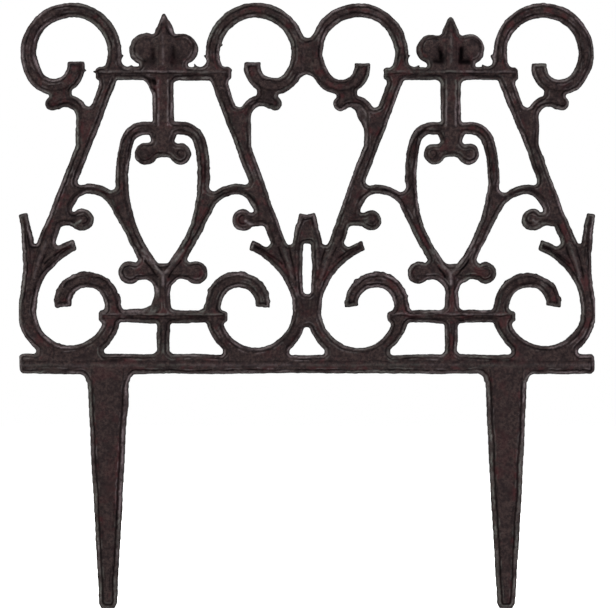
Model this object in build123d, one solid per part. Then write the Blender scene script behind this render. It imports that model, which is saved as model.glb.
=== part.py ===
"""Mini garden fence: a cast-iron border panel of two mirrored scrollwork bays on one rail, with two stakes.

Lengths are in millimetres. X runs along the panel, Z is up and Y is the thickness. The origin is the middle
of the rail's underside, which is the ground line once the stakes are pushed in. The casting is symmetric
about its middle plane of thickness, where the two halves of the mould met.
"""

from build123d import *
import os
from math import asin, cos, degrees, radians, sin, sqrt

# Bottom rail: it ends just inside the outer ground scrolls
RAIL_END_INSET = 0.25
RAIL_HEIGHT = 10.0
RAIL_DEPTH = 10.6
RAIL_BEVEL_RUN = 4.0
RAIL_BEVEL_RISE = 2.6
RAIL_END_CHAMFER = 1.4

# Cast bar section: a flat face, two bevels and a narrow land on the mould's parting line
BAR_DEPTH = 9.0
BEVEL_RUN = 1.9
BEVEL_RISE = 2.5
BEVEL_LIMIT = 0.4
WEB_DEPTH = 5.6
FILLET_ROOT = 1.2

# Ground stakes
STAKE_OFFSET = 103.5
STAKE_TOP_WIDTH = 22.4
STAKE_TIP_WIDTH = 9.0
STAKE_DEPTH = 11.0
STAKE_TIP_DEPTH = 6.6
STAKE_BEVEL_RUN = 2.6
STAKE_LENGTH = 122.0
STAKE_HEAD_IN_RAIL = 7.4
STAKE_POINT_LENGTH = 2.6
STAKE_POINT_CHAMFER = 1.2
STAKE_FILLET = 4.0

# Upper crossbar and lower tie bar of a bay
CROSSBAR_HEIGHT = 155.9
CROSSBAR_WIDTH = 6.5
CROSSBAR_HALF_LENGTH = 34.7
TIE_BAR_DROP = 3.0
TIE_BAR_WIDTH = 6.3
TIE_BAR_HALF_LENGTH = 33.5
CROSS_DEPTH = 9.8
CROSS_END_CHAMFER = 1.2

# Ring scroll above the crossbar, curling into a hook on its outer side
RING_INSET = 0.7
RING_RISE = 10.8
RING_RADIUS = 22.4
RING_WIDTH = 6.6
RING_HOOK_RADIUS = 11.4
RING_HOOK_ANGLE = -35.0
RING_TIP_WIDTH = 8.2
RING_TIP_RISE = 1.4

# Leaning side bar, from under the ring down to the ground scroll
SIDE_BAR_INSET = 1.0
SIDE_FOOT_OUT = 19.1
SIDE_FOOT_RISE = 17.6
SIDE_BAR_WIDTH = 7.3

# Ground scroll: a big arc on the rail with a hook inside it and two thorns above
GROUND_CENTRE_X = 48.4
GROUND_SINK = 3.8
GROUND_RADIUS = 22.5
GROUND_WIDTH = 8.2
HOOK_RADIUS = 12.8
HOOK_BACK_ANGLE = 158.0
HOOK_TIP_ANGLE = -6.0
HOOK_WIDTH = 7.4
INNER_THORN_RADIUS = 37.1
INNER_THORN_DROP = 1.0
INNER_THORN_ANGLE = 71.0
INNER_THORN_TIP_WIDTH = 5.0
OUTER_THORN_OUT = 24.5
OUTER_THORN_RISE = 50.2
OUTER_WAIST_OUT = 21.0
OUTER_WAIST_RISE = 24.7
OUTER_THORN_TIP_WIDTH = 4.2
PALM_VALLEY = 34.7
PALM_ROOT = 13.2
PALM_BACK_ANGLE = 9.0

# Leaf that springs from the side bar and carries the ring's hook
LEAF_INSET = 5.3
LEAF_BELOW_HOOK = 7.3
LEAF_RADIUS = 8.4
LEAF_WIDTH = 5.8
LEAF_END_ANGLE = 46.0
LEAF_KNOB_REACH = 9.9
LEAF_KNOB_RADIUS = 3.5
LEAF_SADDLE_WIDTH = 11.0

# Arched curl between the side bar and the vase, ending in a bead
CURL_INSET = 11.2
CURL_APEX_Z = 95.9
CURL_SIDE_RADIUS = 11.4
CURL_LEG_RADIUS = 16.5
CURL_START_ANGLE = -16.0
CURL_LEG_ANGLE = 27.4
CURL_WIDTH = 4.9
CURL_BEAD_INSET = 14.4
CURL_BEAD_Z = 79.9
CURL_BEAD_RADIUS = 5.2
CURL_NECK_WIDTH = 6.0
CURL_NECK_RISE = 0.8

# Vase-shaped loop in the middle of a bay
VASE_TOP_Z = 127.6
VASE_WAIST_DROP = 26.6
VASE_HALF_WIDTH = 21.5
VASE_SIDE_RADIUS = 73.0
VASE_SHOULDER_RADIUS = 9.5
VASE_WIDTH = 6.2

# Drop: the stem under the crossbar, ending in twin beads inside the vase
DROP_WIDTH = 10.4
DROP_NECK_FALL = 4.6
DROP_NECK_WIDTH = 12.4
DROP_END_FALL = 14.8
DROP_END_WIDTH = 7.0
DROP_BEAD_X = 8.9
DROP_BEAD_FALL = 13.4
DROP_BEAD_RADIUS = 5.4
DROP_FILLET = 2.6

# Foot of the vase, with a bead on each arm, and the post under the tie bar
FOOT_ARM_RISE = 23.4
FOOT_ARM_WIDTH = 7.6
FOOT_BEAD_X = 17.5
FOOT_BEAD_FALL = 0.8
FOOT_BEAD_RADIUS = 5.7
FOOT_STEM_WIDTH = 6.8
FOOT_FILLET = 8.0
POST_WIDTH = 6.2
POST_FILLET = 2.6

# Fleur-de-lis finial on the crossbar
FINIAL_TIP_RISE = 31.1
FINIAL_SHOULDER_RISE = 21.9
FINIAL_SHOULDER_WIDTH = 9.0
FINIAL_PETAL_WIDTH = 9.6
FINIAL_TIP_WIDTH = 1.2
FINIAL_DEPTH = 10.6
FINIAL_TIP_DEPTH = 2.4
FINIAL_LOBE_X = 9.4
FINIAL_LOBE_RISE = 12.7
FINIAL_LOBE_RADIUS = 8.0
FINIAL_BASE_WIDTH = 25.0
FINIAL_BASE_RISE = 6.1

# Where the two bays run together: half the gap between the middle scrolls' centre lines, and the blocks
# that fill it, each from one height to another above the centre of its own ring or scroll
MIDDLE_GAP = 3.85
RING_BRIDGE = (-10.2, 5.5)
THORN_BRIDGE = (35.2, 49.8)
SCROLL_BRIDGE = (-6.4, 9.6)
BRIDGE_DEPTH = 6.4


def at(x, z):
    """A point of the panel's middle plane of thickness."""
    return Vector(x, 0, z)


def on_circle(centre, radius, angle):
    """The point of a circle in the panel's plane at an angle from +X, turning towards +Z."""
    turn = radians(angle)
    return at(centre.X + radius * cos(turn), centre.Z + radius * sin(turn))


def arc(centre, radius, start, end):
    """An arc in the panel's plane, from one angle to another."""
    middle = on_circle(centre, radius, (start + end) / 2)
    return Edge.make_three_point_arc(on_circle(centre, radius, start), middle, on_circle(centre, radius, end))


def line(start, end):
    """A straight edge between two points."""
    return Edge.make_line(start, end)


def section(place, along, width, depth, run=BEVEL_RUN, rise=BEVEL_RISE):
    """The eight-sided cast section, square to a path's direction at a place on it."""
    side, face = width / 2, width / 2 - min(run, BEVEL_LIMIT * width)
    front, land = depth / 2, depth / 2 - min(rise, BEVEL_LIMIT * depth)
    near = [(front, -face), (land, -side), (-land, -side), (-front, -face)]
    far = [(-front, face), (-land, side), (land, side), (front, face)]
    return Plane(origin=place, x_dir=(0, 1, 0), z_dir=along) * Polygon(*near, *far, align=None)


def bar(edges, width, end_width=None, depth=BAR_DEPTH):
    """A cast bar swept along tangent edges, tapering from one width to another where two are given."""
    path = Wire(edges)
    first = section(path @ 0, path % 0, width, depth)
    if end_width is None:
        return sweep(first, path=path)
    last = section(path @ 1, path % 1, end_width, depth)
    return sweep([first, last], path=path, multisection=True)


def straight(start, end, width, depth=BAR_DEPTH, run=BEVEL_RUN, rise=BEVEL_RISE):
    """A straight cast bar between two points."""
    return sweep(section(start, end - start, width, depth, run, rise), path=line(start, end))


def spindle(stations, run=BEVEL_RUN):
    """A straight cast bar through stations of (point, width, depth), with flat sides between them."""
    along = stations[-1][0] - stations[0][0]
    return loft([section(place, along, width, depth, run) for place, width, depth in stations], ruled=True)


def bead(x, z, radius, depth=BAR_DEPTH):
    """A round boss with a domed front and back and a narrow land on its rim."""
    front, land = depth / 2, depth / 2 - BEVEL_RISE
    with BuildSketch(Plane.XY) as half:
        with BuildLine():
            Line((0, -front), (0, front))
            TangentArc((0, front), (radius, land), tangent=(1, 0))
            Line((radius, land), (radius, -land))
            TangentArc((0, -front), (radius, -land), tangent=(1, 0))
        make_face()
    return Pos(x, 0, z) * revolve(half.sketch, axis=Axis.Y)


def web(*corners, depth=WEB_DEPTH):
    """A flat web of iron between bars, set back from their faces."""
    return extrude(Plane.XZ * Polygon(*corners, align=None), amount=depth / 2, both=True)


def corner_fillet(x, z, side, up, radius, depth=WEB_DEPTH):
    """A rounded inside corner at x, z that opens towards side and up (+1 or -1), rooted in both bars."""
    size = radius + FILLET_ROOT
    middle = (radius - FILLET_ROOT) / 2
    block = Pos(x + side * middle, 0, z + up * middle) * Box(size, depth, size)
    hollow = Pos(x + side * radius, 0, z + up * radius) * Rot(90, 0, 0) * Cylinder(radius, 2 * depth)
    return block - hollow


def mirrored(shape):
    """The same shape on the other side of the bay's centre line."""
    return mirror(shape, about=Plane.YZ)


# Driving points of a bay, worked out from the sizes above
GROUND = at(GROUND_CENTRE_X, RAIL_HEIGHT - GROUND_SINK + GROUND_RADIUS + GROUND_WIDTH / 2)
GROUND_HOOK = on_circle(GROUND, GROUND_RADIUS - HOOK_RADIUS, HOOK_BACK_ANGLE)
THORN = at(GROUND.X + GROUND_RADIUS - INNER_THORN_RADIUS, GROUND.Z - INNER_THORN_DROP)
MIDDLE = GROUND.X + GROUND_RADIUS + MIDDLE_GAP
RAIL_HALF_LENGTH = MIDDLE + GROUND.X + GROUND_RADIUS + GROUND_WIDTH / 2 - RAIL_END_INSET
RING = at(GROUND.X - RING_INSET, CROSSBAR_HEIGHT + RING_RISE)
RING_HOOK = on_circle(RING, RING_RADIUS - RING_HOOK_RADIUS, RING_HOOK_ANGLE)
RING_FOOT_ANGLE = 180 + degrees(asin(RING_RISE / RING_RADIUS))
SIDE_TOP = on_circle(RING, RING_RADIUS, RING_FOOT_ANGLE) - at(SIDE_BAR_INSET, 0)
SIDE_FOOT = GROUND + at(SIDE_FOOT_OUT, SIDE_FOOT_RISE)
SIDE_WAY = (SIDE_FOOT - SIDE_TOP).normalized()
LEAF_CURL = at(
    RING.X - LEAF_INSET + LEAF_RADIUS, RING_HOOK.Z - RING_HOOK_RADIUS - LEAF_BELOW_HOOK - LEAF_RADIUS
)
SIDES = {"left": -1, "right": 1}
TIE_BAR_Z = GROUND.Z - TIE_BAR_DROP
FOOT_ARM_Z = TIE_BAR_Z + FOOT_ARM_RISE
VASE_BOW = at(VASE_HALF_WIDTH - VASE_SIDE_RADIUS, VASE_TOP_Z - VASE_WAIST_DROP)


def side_bar_at(z):
    """The point of the side bar's centre line at a height."""
    return SIDE_TOP + SIDE_WAY * ((z - SIDE_TOP.Z) / SIDE_WAY.Z)


def over_foot(shape):
    """The part of a shape that is on its own side of the bay and over the middle of the foot's arms."""
    size = 2 * CROSSBAR_HEIGHT
    return shape & (Pos(size / 2, 0, FOOT_ARM_Z + size / 2) * Box(size, size, size))


def level_bar(z, half_length, width):
    """A level bar across a bay, with small chamfers round its ends."""
    cross = straight(at(-half_length, z), at(half_length, z), width, CROSS_DEPTH)
    ends = cross.faces().filter_by(Axis.X)
    return chamfer(ends.edges(), CROSS_END_CHAMFER)


def make_crossbar():
    """The upper crossbar of a bay, which runs past both side bars."""
    return level_bar(CROSSBAR_HEIGHT, CROSSBAR_HALF_LENGTH, CROSSBAR_WIDTH)


def make_tie_bar():
    """The lower tie bar of a bay, which ends inside the ground scrolls."""
    return level_bar(TIE_BAR_Z, TIE_BAR_HALF_LENGTH, TIE_BAR_WIDTH)


def make_ring():
    """The ring scroll, from its hook's square tip over the top and down into the crossbar."""
    hook_end = on_circle(RING_HOOK, RING_HOOK_RADIUS, 180)
    tip = line(hook_end + at(0, RING_TIP_RISE), hook_end)
    hook = arc(RING_HOOK, RING_HOOK_RADIUS, 180, 360 + RING_HOOK_ANGLE)
    over = arc(RING, RING_RADIUS, RING_HOOK_ANGLE, RING_FOOT_ANGLE)
    return bar([tip, hook, over], RING_TIP_WIDTH, RING_WIDTH)


def make_side_bar():
    """The leaning side bar, from the crossbar down into the ground scroll."""
    return bar([line(SIDE_TOP, SIDE_FOOT)], SIDE_BAR_WIDTH)


def tie_bar_angle():
    """The angle on the ground scroll's arc where it passes the tie bar's centre line."""
    return 180 + degrees(asin(TIE_BAR_DROP / GROUND_RADIUS))


def make_hook():
    """The hook inside the ground scroll, from its square tip over and down into the tie bar."""
    over = arc(GROUND_HOOK, HOOK_RADIUS, HOOK_TIP_ANGLE, HOOK_BACK_ANGLE)
    into = arc(GROUND, GROUND_RADIUS, HOOK_BACK_ANGLE, tie_bar_angle())
    return bar([over, into], HOOK_WIDTH, GROUND_WIDTH)


def make_ground_scroll():
    """The ground scroll's big arc, with the two thorns and the web that join it to the side bar."""
    around = bar([arc(GROUND, GROUND_RADIUS, tie_bar_angle(), 360)], GROUND_WIDTH)
    inner = bar([arc(THORN, INNER_THORN_RADIUS, 0, INNER_THORN_ANGLE)], GROUND_WIDTH, INNER_THORN_TIP_WIDTH)
    waist = GROUND + at(OUTER_WAIST_OUT, OUTER_WAIST_RISE)
    outer_path = Edge.make_three_point_arc(
        on_circle(GROUND, GROUND_RADIUS, 0), waist, GROUND + at(OUTER_THORN_OUT, OUTER_THORN_RISE)
    )
    outer = bar([outer_path], GROUND_WIDTH, OUTER_THORN_TIP_WIDTH)
    valley = side_bar_at(GROUND.Z + PALM_VALLEY)
    inner_side = on_circle(THORN, INNER_THORN_RADIUS, INNER_THORN_ANGLE - PALM_BACK_ANGLE)
    root = on_circle(THORN, INNER_THORN_RADIUS, degrees(asin(PALM_ROOT / INNER_THORN_RADIUS)))
    palm = web((inner_side.X, inner_side.Z), (root.X, root.Z), (waist.X, valley.Z), (valley.X, valley.Z))
    return around + inner + outer + palm


def make_leaf():
    """The leaf on the side bar's outer side, with its knob and the saddle under the ring's hook."""
    spring = on_circle(LEAF_CURL, LEAF_RADIUS, 180)
    root = SIDE_TOP + SIDE_WAY * ((spring.X - SIDE_TOP.X) / SIDE_WAY.X)
    blade = bar([line(root, spring), arc(LEAF_CURL, LEAF_RADIUS, 180, LEAF_END_ANGLE)], LEAF_WIDTH)
    knob_at = on_circle(LEAF_CURL, LEAF_KNOB_REACH, LEAF_END_ANGLE)
    knob = bead(knob_at.X, knob_at.Z, LEAF_KNOB_RADIUS)
    crest = LEAF_CURL.Z + LEAF_RADIUS
    hook_bottom = crest + LEAF_BELOW_HOOK
    left = (LEAF_CURL.X + RING_HOOK.X - LEAF_SADDLE_WIDTH) / 2
    right = left + LEAF_SADDLE_WIDTH
    saddle = web((left, crest), (right, crest), (right, hook_bottom), (left, hook_bottom))
    return blade + knob + saddle


def make_arch_curl():
    """The arched curl: a bead on a neck, the arch over it, and the leg that runs down the vase."""
    apex = side_bar_at(CURL_APEX_Z) - at(CURL_INSET, 0)
    bead_at = side_bar_at(CURL_BEAD_Z) - at(CURL_BEAD_INSET, 0)
    side_centre = apex - at(0, CURL_SIDE_RADIUS)
    leg_centre = apex - at(0, CURL_LEG_RADIUS)
    turn = 180 - CURL_LEG_ANGLE
    leg_top = on_circle(leg_centre, CURL_LEG_RADIUS, turn)
    leg_way = at(-sin(radians(CURL_LEG_ANGLE)), -cos(radians(CURL_LEG_ANGLE)))
    leg_foot = leg_top + leg_way * ((FOOT_ARM_Z - CURL_WIDTH - leg_top.Z) / leg_way.Z)
    rise = arc(side_centre, CURL_SIDE_RADIUS, CURL_START_ANGLE, 90)
    fall = arc(leg_centre, CURL_LEG_RADIUS, 90, turn)
    arch = over_foot(bar([rise, fall, line(leg_top, leg_foot)], CURL_WIDTH))
    neck_z = CURL_BEAD_Z + CURL_NECK_RISE
    neck = straight(at(bead_at.X, neck_z), side_bar_at(neck_z), CURL_NECK_WIDTH)
    return arch + neck + bead(bead_at.X, bead_at.Z, CURL_BEAD_RADIUS)


def make_vase_side():
    """One side of the vase-shaped loop: a level shoulder and a bowed side that comes down on the foot."""
    shoulder_z = VASE_TOP_Z - VASE_SHOULDER_RADIUS
    reach = VASE_SIDE_RADIUS - VASE_SHOULDER_RADIUS
    rise = shoulder_z - VASE_BOW.Z
    shoulder = at(VASE_BOW.X + sqrt(reach**2 - rise**2), shoulder_z)
    turn = degrees(asin(rise / reach))
    foot_turn = -degrees(asin((VASE_BOW.Z - FOOT_ARM_Z + VASE_WIDTH / 2) / VASE_SIDE_RADIUS))
    level = line(at(0, VASE_TOP_Z), at(shoulder.X, VASE_TOP_Z))
    bend = arc(shoulder, VASE_SHOULDER_RADIUS, 90, turn)
    bow = arc(VASE_BOW, VASE_SIDE_RADIUS, turn, foot_turn)
    return over_foot(bar([level, bend, bow], VASE_WIDTH))


def vase_inside():
    """What lies inside the bow of a vase side, where nothing of the arched curl may be."""
    return Pos(VASE_BOW.X, 0, VASE_BOW.Z) * Rot(90, 0, 0) * Cylinder(VASE_SIDE_RADIUS, 2 * BAR_DEPTH)


def make_drop():
    """The stem under the crossbar, its flared neck and the twin beads."""
    stem = spindle(
        [
            (at(0, CROSSBAR_HEIGHT), DROP_WIDTH, BAR_DEPTH),
            (at(0, VASE_TOP_Z), DROP_WIDTH, BAR_DEPTH),
            (at(0, VASE_TOP_Z - DROP_NECK_FALL), DROP_NECK_WIDTH, BAR_DEPTH),
            (at(0, VASE_TOP_Z - DROP_END_FALL), DROP_END_WIDTH, BAR_DEPTH),
        ]
    )
    under = CROSSBAR_HEIGHT - CROSSBAR_WIDTH / 2
    knob = bead(DROP_BEAD_X, VASE_TOP_Z - DROP_BEAD_FALL, DROP_BEAD_RADIUS)
    side = knob + corner_fillet(DROP_WIDTH / 2, under, 1, -1, DROP_FILLET)
    return stem + side + mirrored(side)


def make_finial():
    """The fleur-de-lis: a pointed petal between two round lobes on a low base."""
    level = at(0, CROSSBAR_HEIGHT)
    petal = spindle(
        [
            (level, FINIAL_PETAL_WIDTH, FINIAL_DEPTH),
            (level + at(0, FINIAL_SHOULDER_RISE), FINIAL_SHOULDER_WIDTH, FINIAL_DEPTH),
            (level + at(0, FINIAL_TIP_RISE), FINIAL_TIP_WIDTH, FINIAL_TIP_DEPTH),
        ]
    )
    base = straight(level, level + at(0, FINIAL_BASE_RISE), FINIAL_BASE_WIDTH)
    lobe = bead(FINIAL_LOBE_X, CROSSBAR_HEIGHT + FINIAL_LOBE_RISE, FINIAL_LOBE_RADIUS)
    return petal + base + lobe + mirrored(lobe)


def make_vase_foot():
    """The foot under the vase: a beaded arm each way and the stem down to the tie bar."""
    bead_z = FOOT_ARM_Z - FOOT_BEAD_FALL
    places = [at(-FOOT_BEAD_X, bead_z), at(0, FOOT_ARM_Z), at(FOOT_BEAD_X, bead_z)]
    arms = spindle([(place, FOOT_ARM_WIDTH, BAR_DEPTH) for place in places])
    under = FOOT_ARM_Z - FOOT_ARM_WIDTH / 2
    side = (
        bead(FOOT_BEAD_X, bead_z, FOOT_BEAD_RADIUS)
        + corner_fillet(FOOT_STEM_WIDTH / 2, under, 1, -1, FOOT_FILLET)
        + corner_fillet(FOOT_STEM_WIDTH / 2, TIE_BAR_Z + TIE_BAR_WIDTH / 2, 1, 1, POST_FILLET)
    )
    stem = straight(at(0, FOOT_ARM_Z), at(0, TIE_BAR_Z), FOOT_STEM_WIDTH)
    return arms + stem + side + mirrored(side)


def make_post():
    """The short post between the tie bar and the rail."""
    post = straight(at(0, TIE_BAR_Z), at(0, RAIL_HEIGHT / 2), POST_WIDTH)
    foot = corner_fillet(POST_WIDTH / 2, RAIL_HEIGHT, 1, 1, POST_FILLET)
    return post + foot + mirrored(foot)


def make_rail():
    """The bottom rail, with small chamfers round its ends."""
    half = at(RAIL_HALF_LENGTH, 0)
    level = at(0, RAIL_HEIGHT / 2)
    rail = straight(level - half, level + half, RAIL_HEIGHT, RAIL_DEPTH, RAIL_BEVEL_RUN, RAIL_BEVEL_RISE)
    ends = rail.faces().filter_by(Axis.X)
    return chamfer(ends.edges(), RAIL_END_CHAMFER)


def make_stake():
    """A ground stake, tapering in width and thickness to a blunt point, with its head let into the rail."""
    shank = STAKE_LENGTH - STAKE_POINT_LENGTH
    stake = spindle(
        [
            (at(0, STAKE_HEAD_IN_RAIL), STAKE_TOP_WIDTH, STAKE_DEPTH),
            (at(0, -shank), STAKE_TIP_WIDTH, STAKE_TIP_DEPTH),
            (
                at(0, -STAKE_LENGTH),
                STAKE_TIP_WIDTH - 2 * STAKE_POINT_CHAMFER,
                STAKE_TIP_DEPTH - 2 * STAKE_POINT_CHAMFER,
            ),
        ],
        STAKE_BEVEL_RUN,
    )
    shoulder = corner_fillet(STAKE_TOP_WIDTH / 2, 0, 1, -1, STAKE_FILLET)
    return stake + shoulder + mirrored(shoulder)


def make_bridge(centre, levels, out):
    """A block between the bays, at two heights from a ring's or scroll's centre, out to a bar each way."""
    reach = MIDDLE - centre.X - out
    low, high = centre.Z + levels[0], centre.Z + levels[1]
    return web((-reach, low), (reach, low), (reach, high), (-reach, high), depth=BRIDGE_DEPTH)


def build_half(crossbar, tie_bar, rail, drop, vase_foot):
    """The pieces on one side of a bay, each trimmed where it runs into its neighbour."""
    ring = make_ring() - crossbar
    ground_scroll = make_ground_scroll() - tie_bar - rail
    hook = make_hook() - tie_bar - ground_scroll
    side_bar = make_side_bar() - crossbar - ground_scroll
    leaf = make_leaf() - side_bar - ring
    vase_side = make_vase_side() - drop - vase_foot
    arch_curl = make_arch_curl() - side_bar - vase_side - vase_foot - vase_inside()
    return {
        "ring": ring,
        "ground_scroll": ground_scroll,
        "hook": hook,
        "side_bar": side_bar,
        "leaf": leaf,
        "vase_side": vase_side,
        "arch_curl": arch_curl,
    }


def build_panel():
    """Every node of the panel by name."""
    rail = make_rail()
    crossbar, tie_bar = make_crossbar(), make_tie_bar()
    drop = make_drop() - crossbar
    vase_foot = make_vase_foot() - tie_bar
    half = build_half(crossbar, tie_bar, rail, drop, vase_foot)
    bay = {
        "crossbar": crossbar,
        "tie_bar": tie_bar,
        "drop": drop,
        "finial": make_finial() - crossbar,
        "vase_foot": vase_foot,
        "post": make_post() - tie_bar - rail,
    }
    stakes = {name: Pos(side * STAKE_OFFSET, 0, 0) * make_stake() for name, side in SIDES.items()}
    nodes = {"bottom_rail": rail - stakes["left"] - stakes["right"]}
    reach = 4 * RAIL_HALF_LENGTH
    for name, side in SIDES.items():
        centre = Pos(side * MIDDLE, 0, 0)
        keep = Pos(side * reach / 2, 0, 0) * Box(reach, reach, reach)
        nodes[f"{name}_stake"] = stakes[name]
        for piece, shape in bay.items():
            nodes[f"{name}_{piece}"] = centre * shape
        for piece, shape in half.items():
            outward = shape if side > 0 else mirrored(shape)
            inward = mirrored(shape) if side > 0 else shape
            nodes[f"{name}_outer_{piece}"] = centre * outward
            nodes[f"{name}_inner_{piece}"] = (centre * inward) & keep
    bridges = {
        "ring_bridge": (make_bridge(RING, RING_BRIDGE, RING_RADIUS), "ring"),
        "thorn_bridge": (make_bridge(GROUND, THORN_BRIDGE, OUTER_THORN_OUT), "ground_scroll"),
        "scroll_bridge": (make_bridge(GROUND, SCROLL_BRIDGE, GROUND_RADIUS), "ground_scroll"),
    }
    for name, (block, piece) in bridges.items():
        nodes[name] = block - nodes[f"left_inner_{piece}"] - nodes[f"right_inner_{piece}"]
    return nodes


os.makedirs("parts", exist_ok=True)
for node, shape in build_panel().items():
    export_step(shape, f"parts/{node}.step")
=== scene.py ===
"""Dressed mini garden fence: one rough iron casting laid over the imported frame, with a dark antique finish.

Lengths are in metres unless a name ends in _mm. X runs along the panel, Z is up and the front faces -Y.
The castings are height fields over the panel's plane, read from the frame's own nodes. Bars that meet run
into each other with small fillets, as they do in a sand mould, and parts of the pattern sit a little off
their places.
"""
import logging
import math
from dataclasses import dataclass, field
from enum import Enum

import bpy
import numpy as np
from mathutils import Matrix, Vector


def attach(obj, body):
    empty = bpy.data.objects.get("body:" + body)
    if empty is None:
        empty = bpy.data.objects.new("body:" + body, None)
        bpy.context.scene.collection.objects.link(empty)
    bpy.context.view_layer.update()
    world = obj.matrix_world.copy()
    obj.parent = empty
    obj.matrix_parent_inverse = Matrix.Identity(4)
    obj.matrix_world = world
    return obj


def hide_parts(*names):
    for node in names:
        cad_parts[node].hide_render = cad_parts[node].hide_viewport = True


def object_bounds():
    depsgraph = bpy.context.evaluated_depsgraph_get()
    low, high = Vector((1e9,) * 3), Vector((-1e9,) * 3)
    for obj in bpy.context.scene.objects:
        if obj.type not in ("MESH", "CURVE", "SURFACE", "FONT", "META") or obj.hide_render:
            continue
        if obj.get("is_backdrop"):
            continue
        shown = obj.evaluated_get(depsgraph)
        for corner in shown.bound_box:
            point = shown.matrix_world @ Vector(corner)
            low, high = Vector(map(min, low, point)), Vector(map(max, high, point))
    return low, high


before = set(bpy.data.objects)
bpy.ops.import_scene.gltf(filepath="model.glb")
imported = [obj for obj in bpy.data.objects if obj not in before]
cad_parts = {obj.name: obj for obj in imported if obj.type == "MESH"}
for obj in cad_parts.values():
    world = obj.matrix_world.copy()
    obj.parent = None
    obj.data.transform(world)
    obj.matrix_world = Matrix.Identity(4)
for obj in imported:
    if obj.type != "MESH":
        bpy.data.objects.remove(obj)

LOG = logging.getLogger("fence")
MM = 0.001
PHOTO_SIZE = 616
PHOTO_MM_PER_PIXEL = 0.52
PHOTO_CENTRE_X = 307.0
PHOTO_GROUND_ROW = 373.5
BAY_CENTRE_MM = 74.75
BAY_CENTRE = 0.07475
RAIL_TOP_CUT = 10.92 * MM
RAIL_FOOT_CUT = -5.72 * MM
FIELD_REACH = 5.0 * MM
TRACE = 1e-3
WHITE = (1.0, 1.0, 1.0, 1.0)


class Side(Enum):
    """Which end of the panel a piece belongs to, with the sign of its X."""

    LEFT = -1
    RIGHT = 1

    @property
    def word(self) -> str:
        """The side as it is written in the frame's node names."""
        return self.name.lower()


@dataclass(frozen=True)
class Grid:
    """A fine grid of points over the panel's plane: even ones are mesh vertices, odd ones cell centres.

    Attributes:
        half_columns: mesh cells on each side of X = 0.
        rows_below: mesh cells under Z = 0.
        rows_above: mesh cells over Z = 0.
        pitch: side of one mesh cell.
    """

    half_columns: int = 294
    rows_below: int = 240
    rows_above: int = 376
    pitch: float = 0.52 * MM

    @property
    def step(self) -> float:
        """Distance between two fine points."""
        return self.pitch / 2

    @property
    def shape(self) -> tuple[int, int]:
        """Number of fine points along X and along Z."""
        return 4 * self.half_columns + 1, 2 * (self.rows_below + self.rows_above) + 1

    def axes(self) -> tuple[np.ndarray, np.ndarray]:
        """The X of each fine column and the Z of each fine row."""
        columns, rows = self.shape
        xs = (np.arange(columns) - 2 * self.half_columns) * self.step
        zs = (np.arange(rows) - 2 * self.rows_below) * self.step
        return xs, zs

    def places(self) -> tuple[np.ndarray, np.ndarray]:
        """X and Z of every fine point as two full arrays."""
        xs, zs = self.axes()
        return np.meshgrid(xs, zs, indexing="ij")

    def blur(self, values: np.ndarray, reach: float) -> np.ndarray:
        """Blurs an array over the plane.

        Args:
            values: one number for each fine point.
            reach: the Gaussian's standard deviation.

        Returns:
            The blurred array, as if everything past the edge were zero.
        """
        sigma = reach / self.step
        radius = max(1, int(math.ceil(3.2 * sigma)))
        taps = np.exp(-0.5 * (np.arange(-radius, radius + 1) / sigma) ** 2)
        taps /= taps.sum()
        result = np.zeros_like(values)
        for offset, weight in zip(range(-radius, radius + 1), taps):
            result += weight * shifted(values, offset, 0)
        second = np.zeros_like(values)
        for offset, weight in zip(range(-radius, radius + 1), taps):
            second += weight * shifted(result, 0, offset)
        return second

    def noise(self, seed: int, wavelength: float) -> np.ndarray:
        """Smooth seeded unevenness.

        Args:
            seed: picks the pattern.
            wavelength: typical distance from one bump to the next.

        Returns:
            An array with mean 0 and standard deviation 1.
        """
        spacing = wavelength / 2.2 / self.step
        columns, rows = self.shape
        knots_x, knots_z = int(columns / spacing) + 5, int(rows / spacing) + 5
        knots = np.random.default_rng(seed).standard_normal((knots_x, knots_z))
        across = spline_rows(np.arange(columns) / spacing, knots_x)
        upward = spline_rows(np.arange(rows) / spacing, knots_z)
        pattern = across @ knots @ upward.T
        return (pattern - pattern.mean()) / pattern.std()

    def sample(self, values: np.ndarray, x: np.ndarray, z: np.ndarray) -> np.ndarray:
        """Reads an array between its points.

        Args:
            values: one number for each fine point.
            x: X of the places to read.
            z: Z of the places to read.

        Returns:
            The values there, by bilinear interpolation.
        """
        columns, rows = self.shape
        u = np.clip(x / self.step + 2 * self.half_columns, 0, columns - 1.001)
        v = np.clip(z / self.step + 2 * self.rows_below, 0, rows - 1.001)
        i, j = u.astype(int), v.astype(int)
        u, v = u - i, v - j
        low = values[i, j] * (1 - u) + values[i + 1, j] * u
        high = values[i, j + 1] * (1 - u) + values[i + 1, j + 1] * u
        return low * (1 - v) + high * v


def shifted(values: np.ndarray, columns: int, rows: int, fill: float = 0.0) -> np.ndarray:
    """Moves an array by whole points.

    Args:
        values: the array.
        columns: points to move along X.
        rows: points to move along Z.
        fill: what comes in from outside.

    Returns:
        The moved array, the same size.
    """
    result = np.full_like(values, fill)
    width, height = values.shape
    from_x, to_x = max(0, -columns), max(0, columns)
    from_z, to_z = max(0, -rows), max(0, rows)
    span_x, span_z = width - abs(columns), height - abs(rows)
    source = values[from_x:from_x + span_x, from_z:from_z + span_z]
    result[to_x:to_x + span_x, to_z:to_z + span_z] = source
    return result


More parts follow.
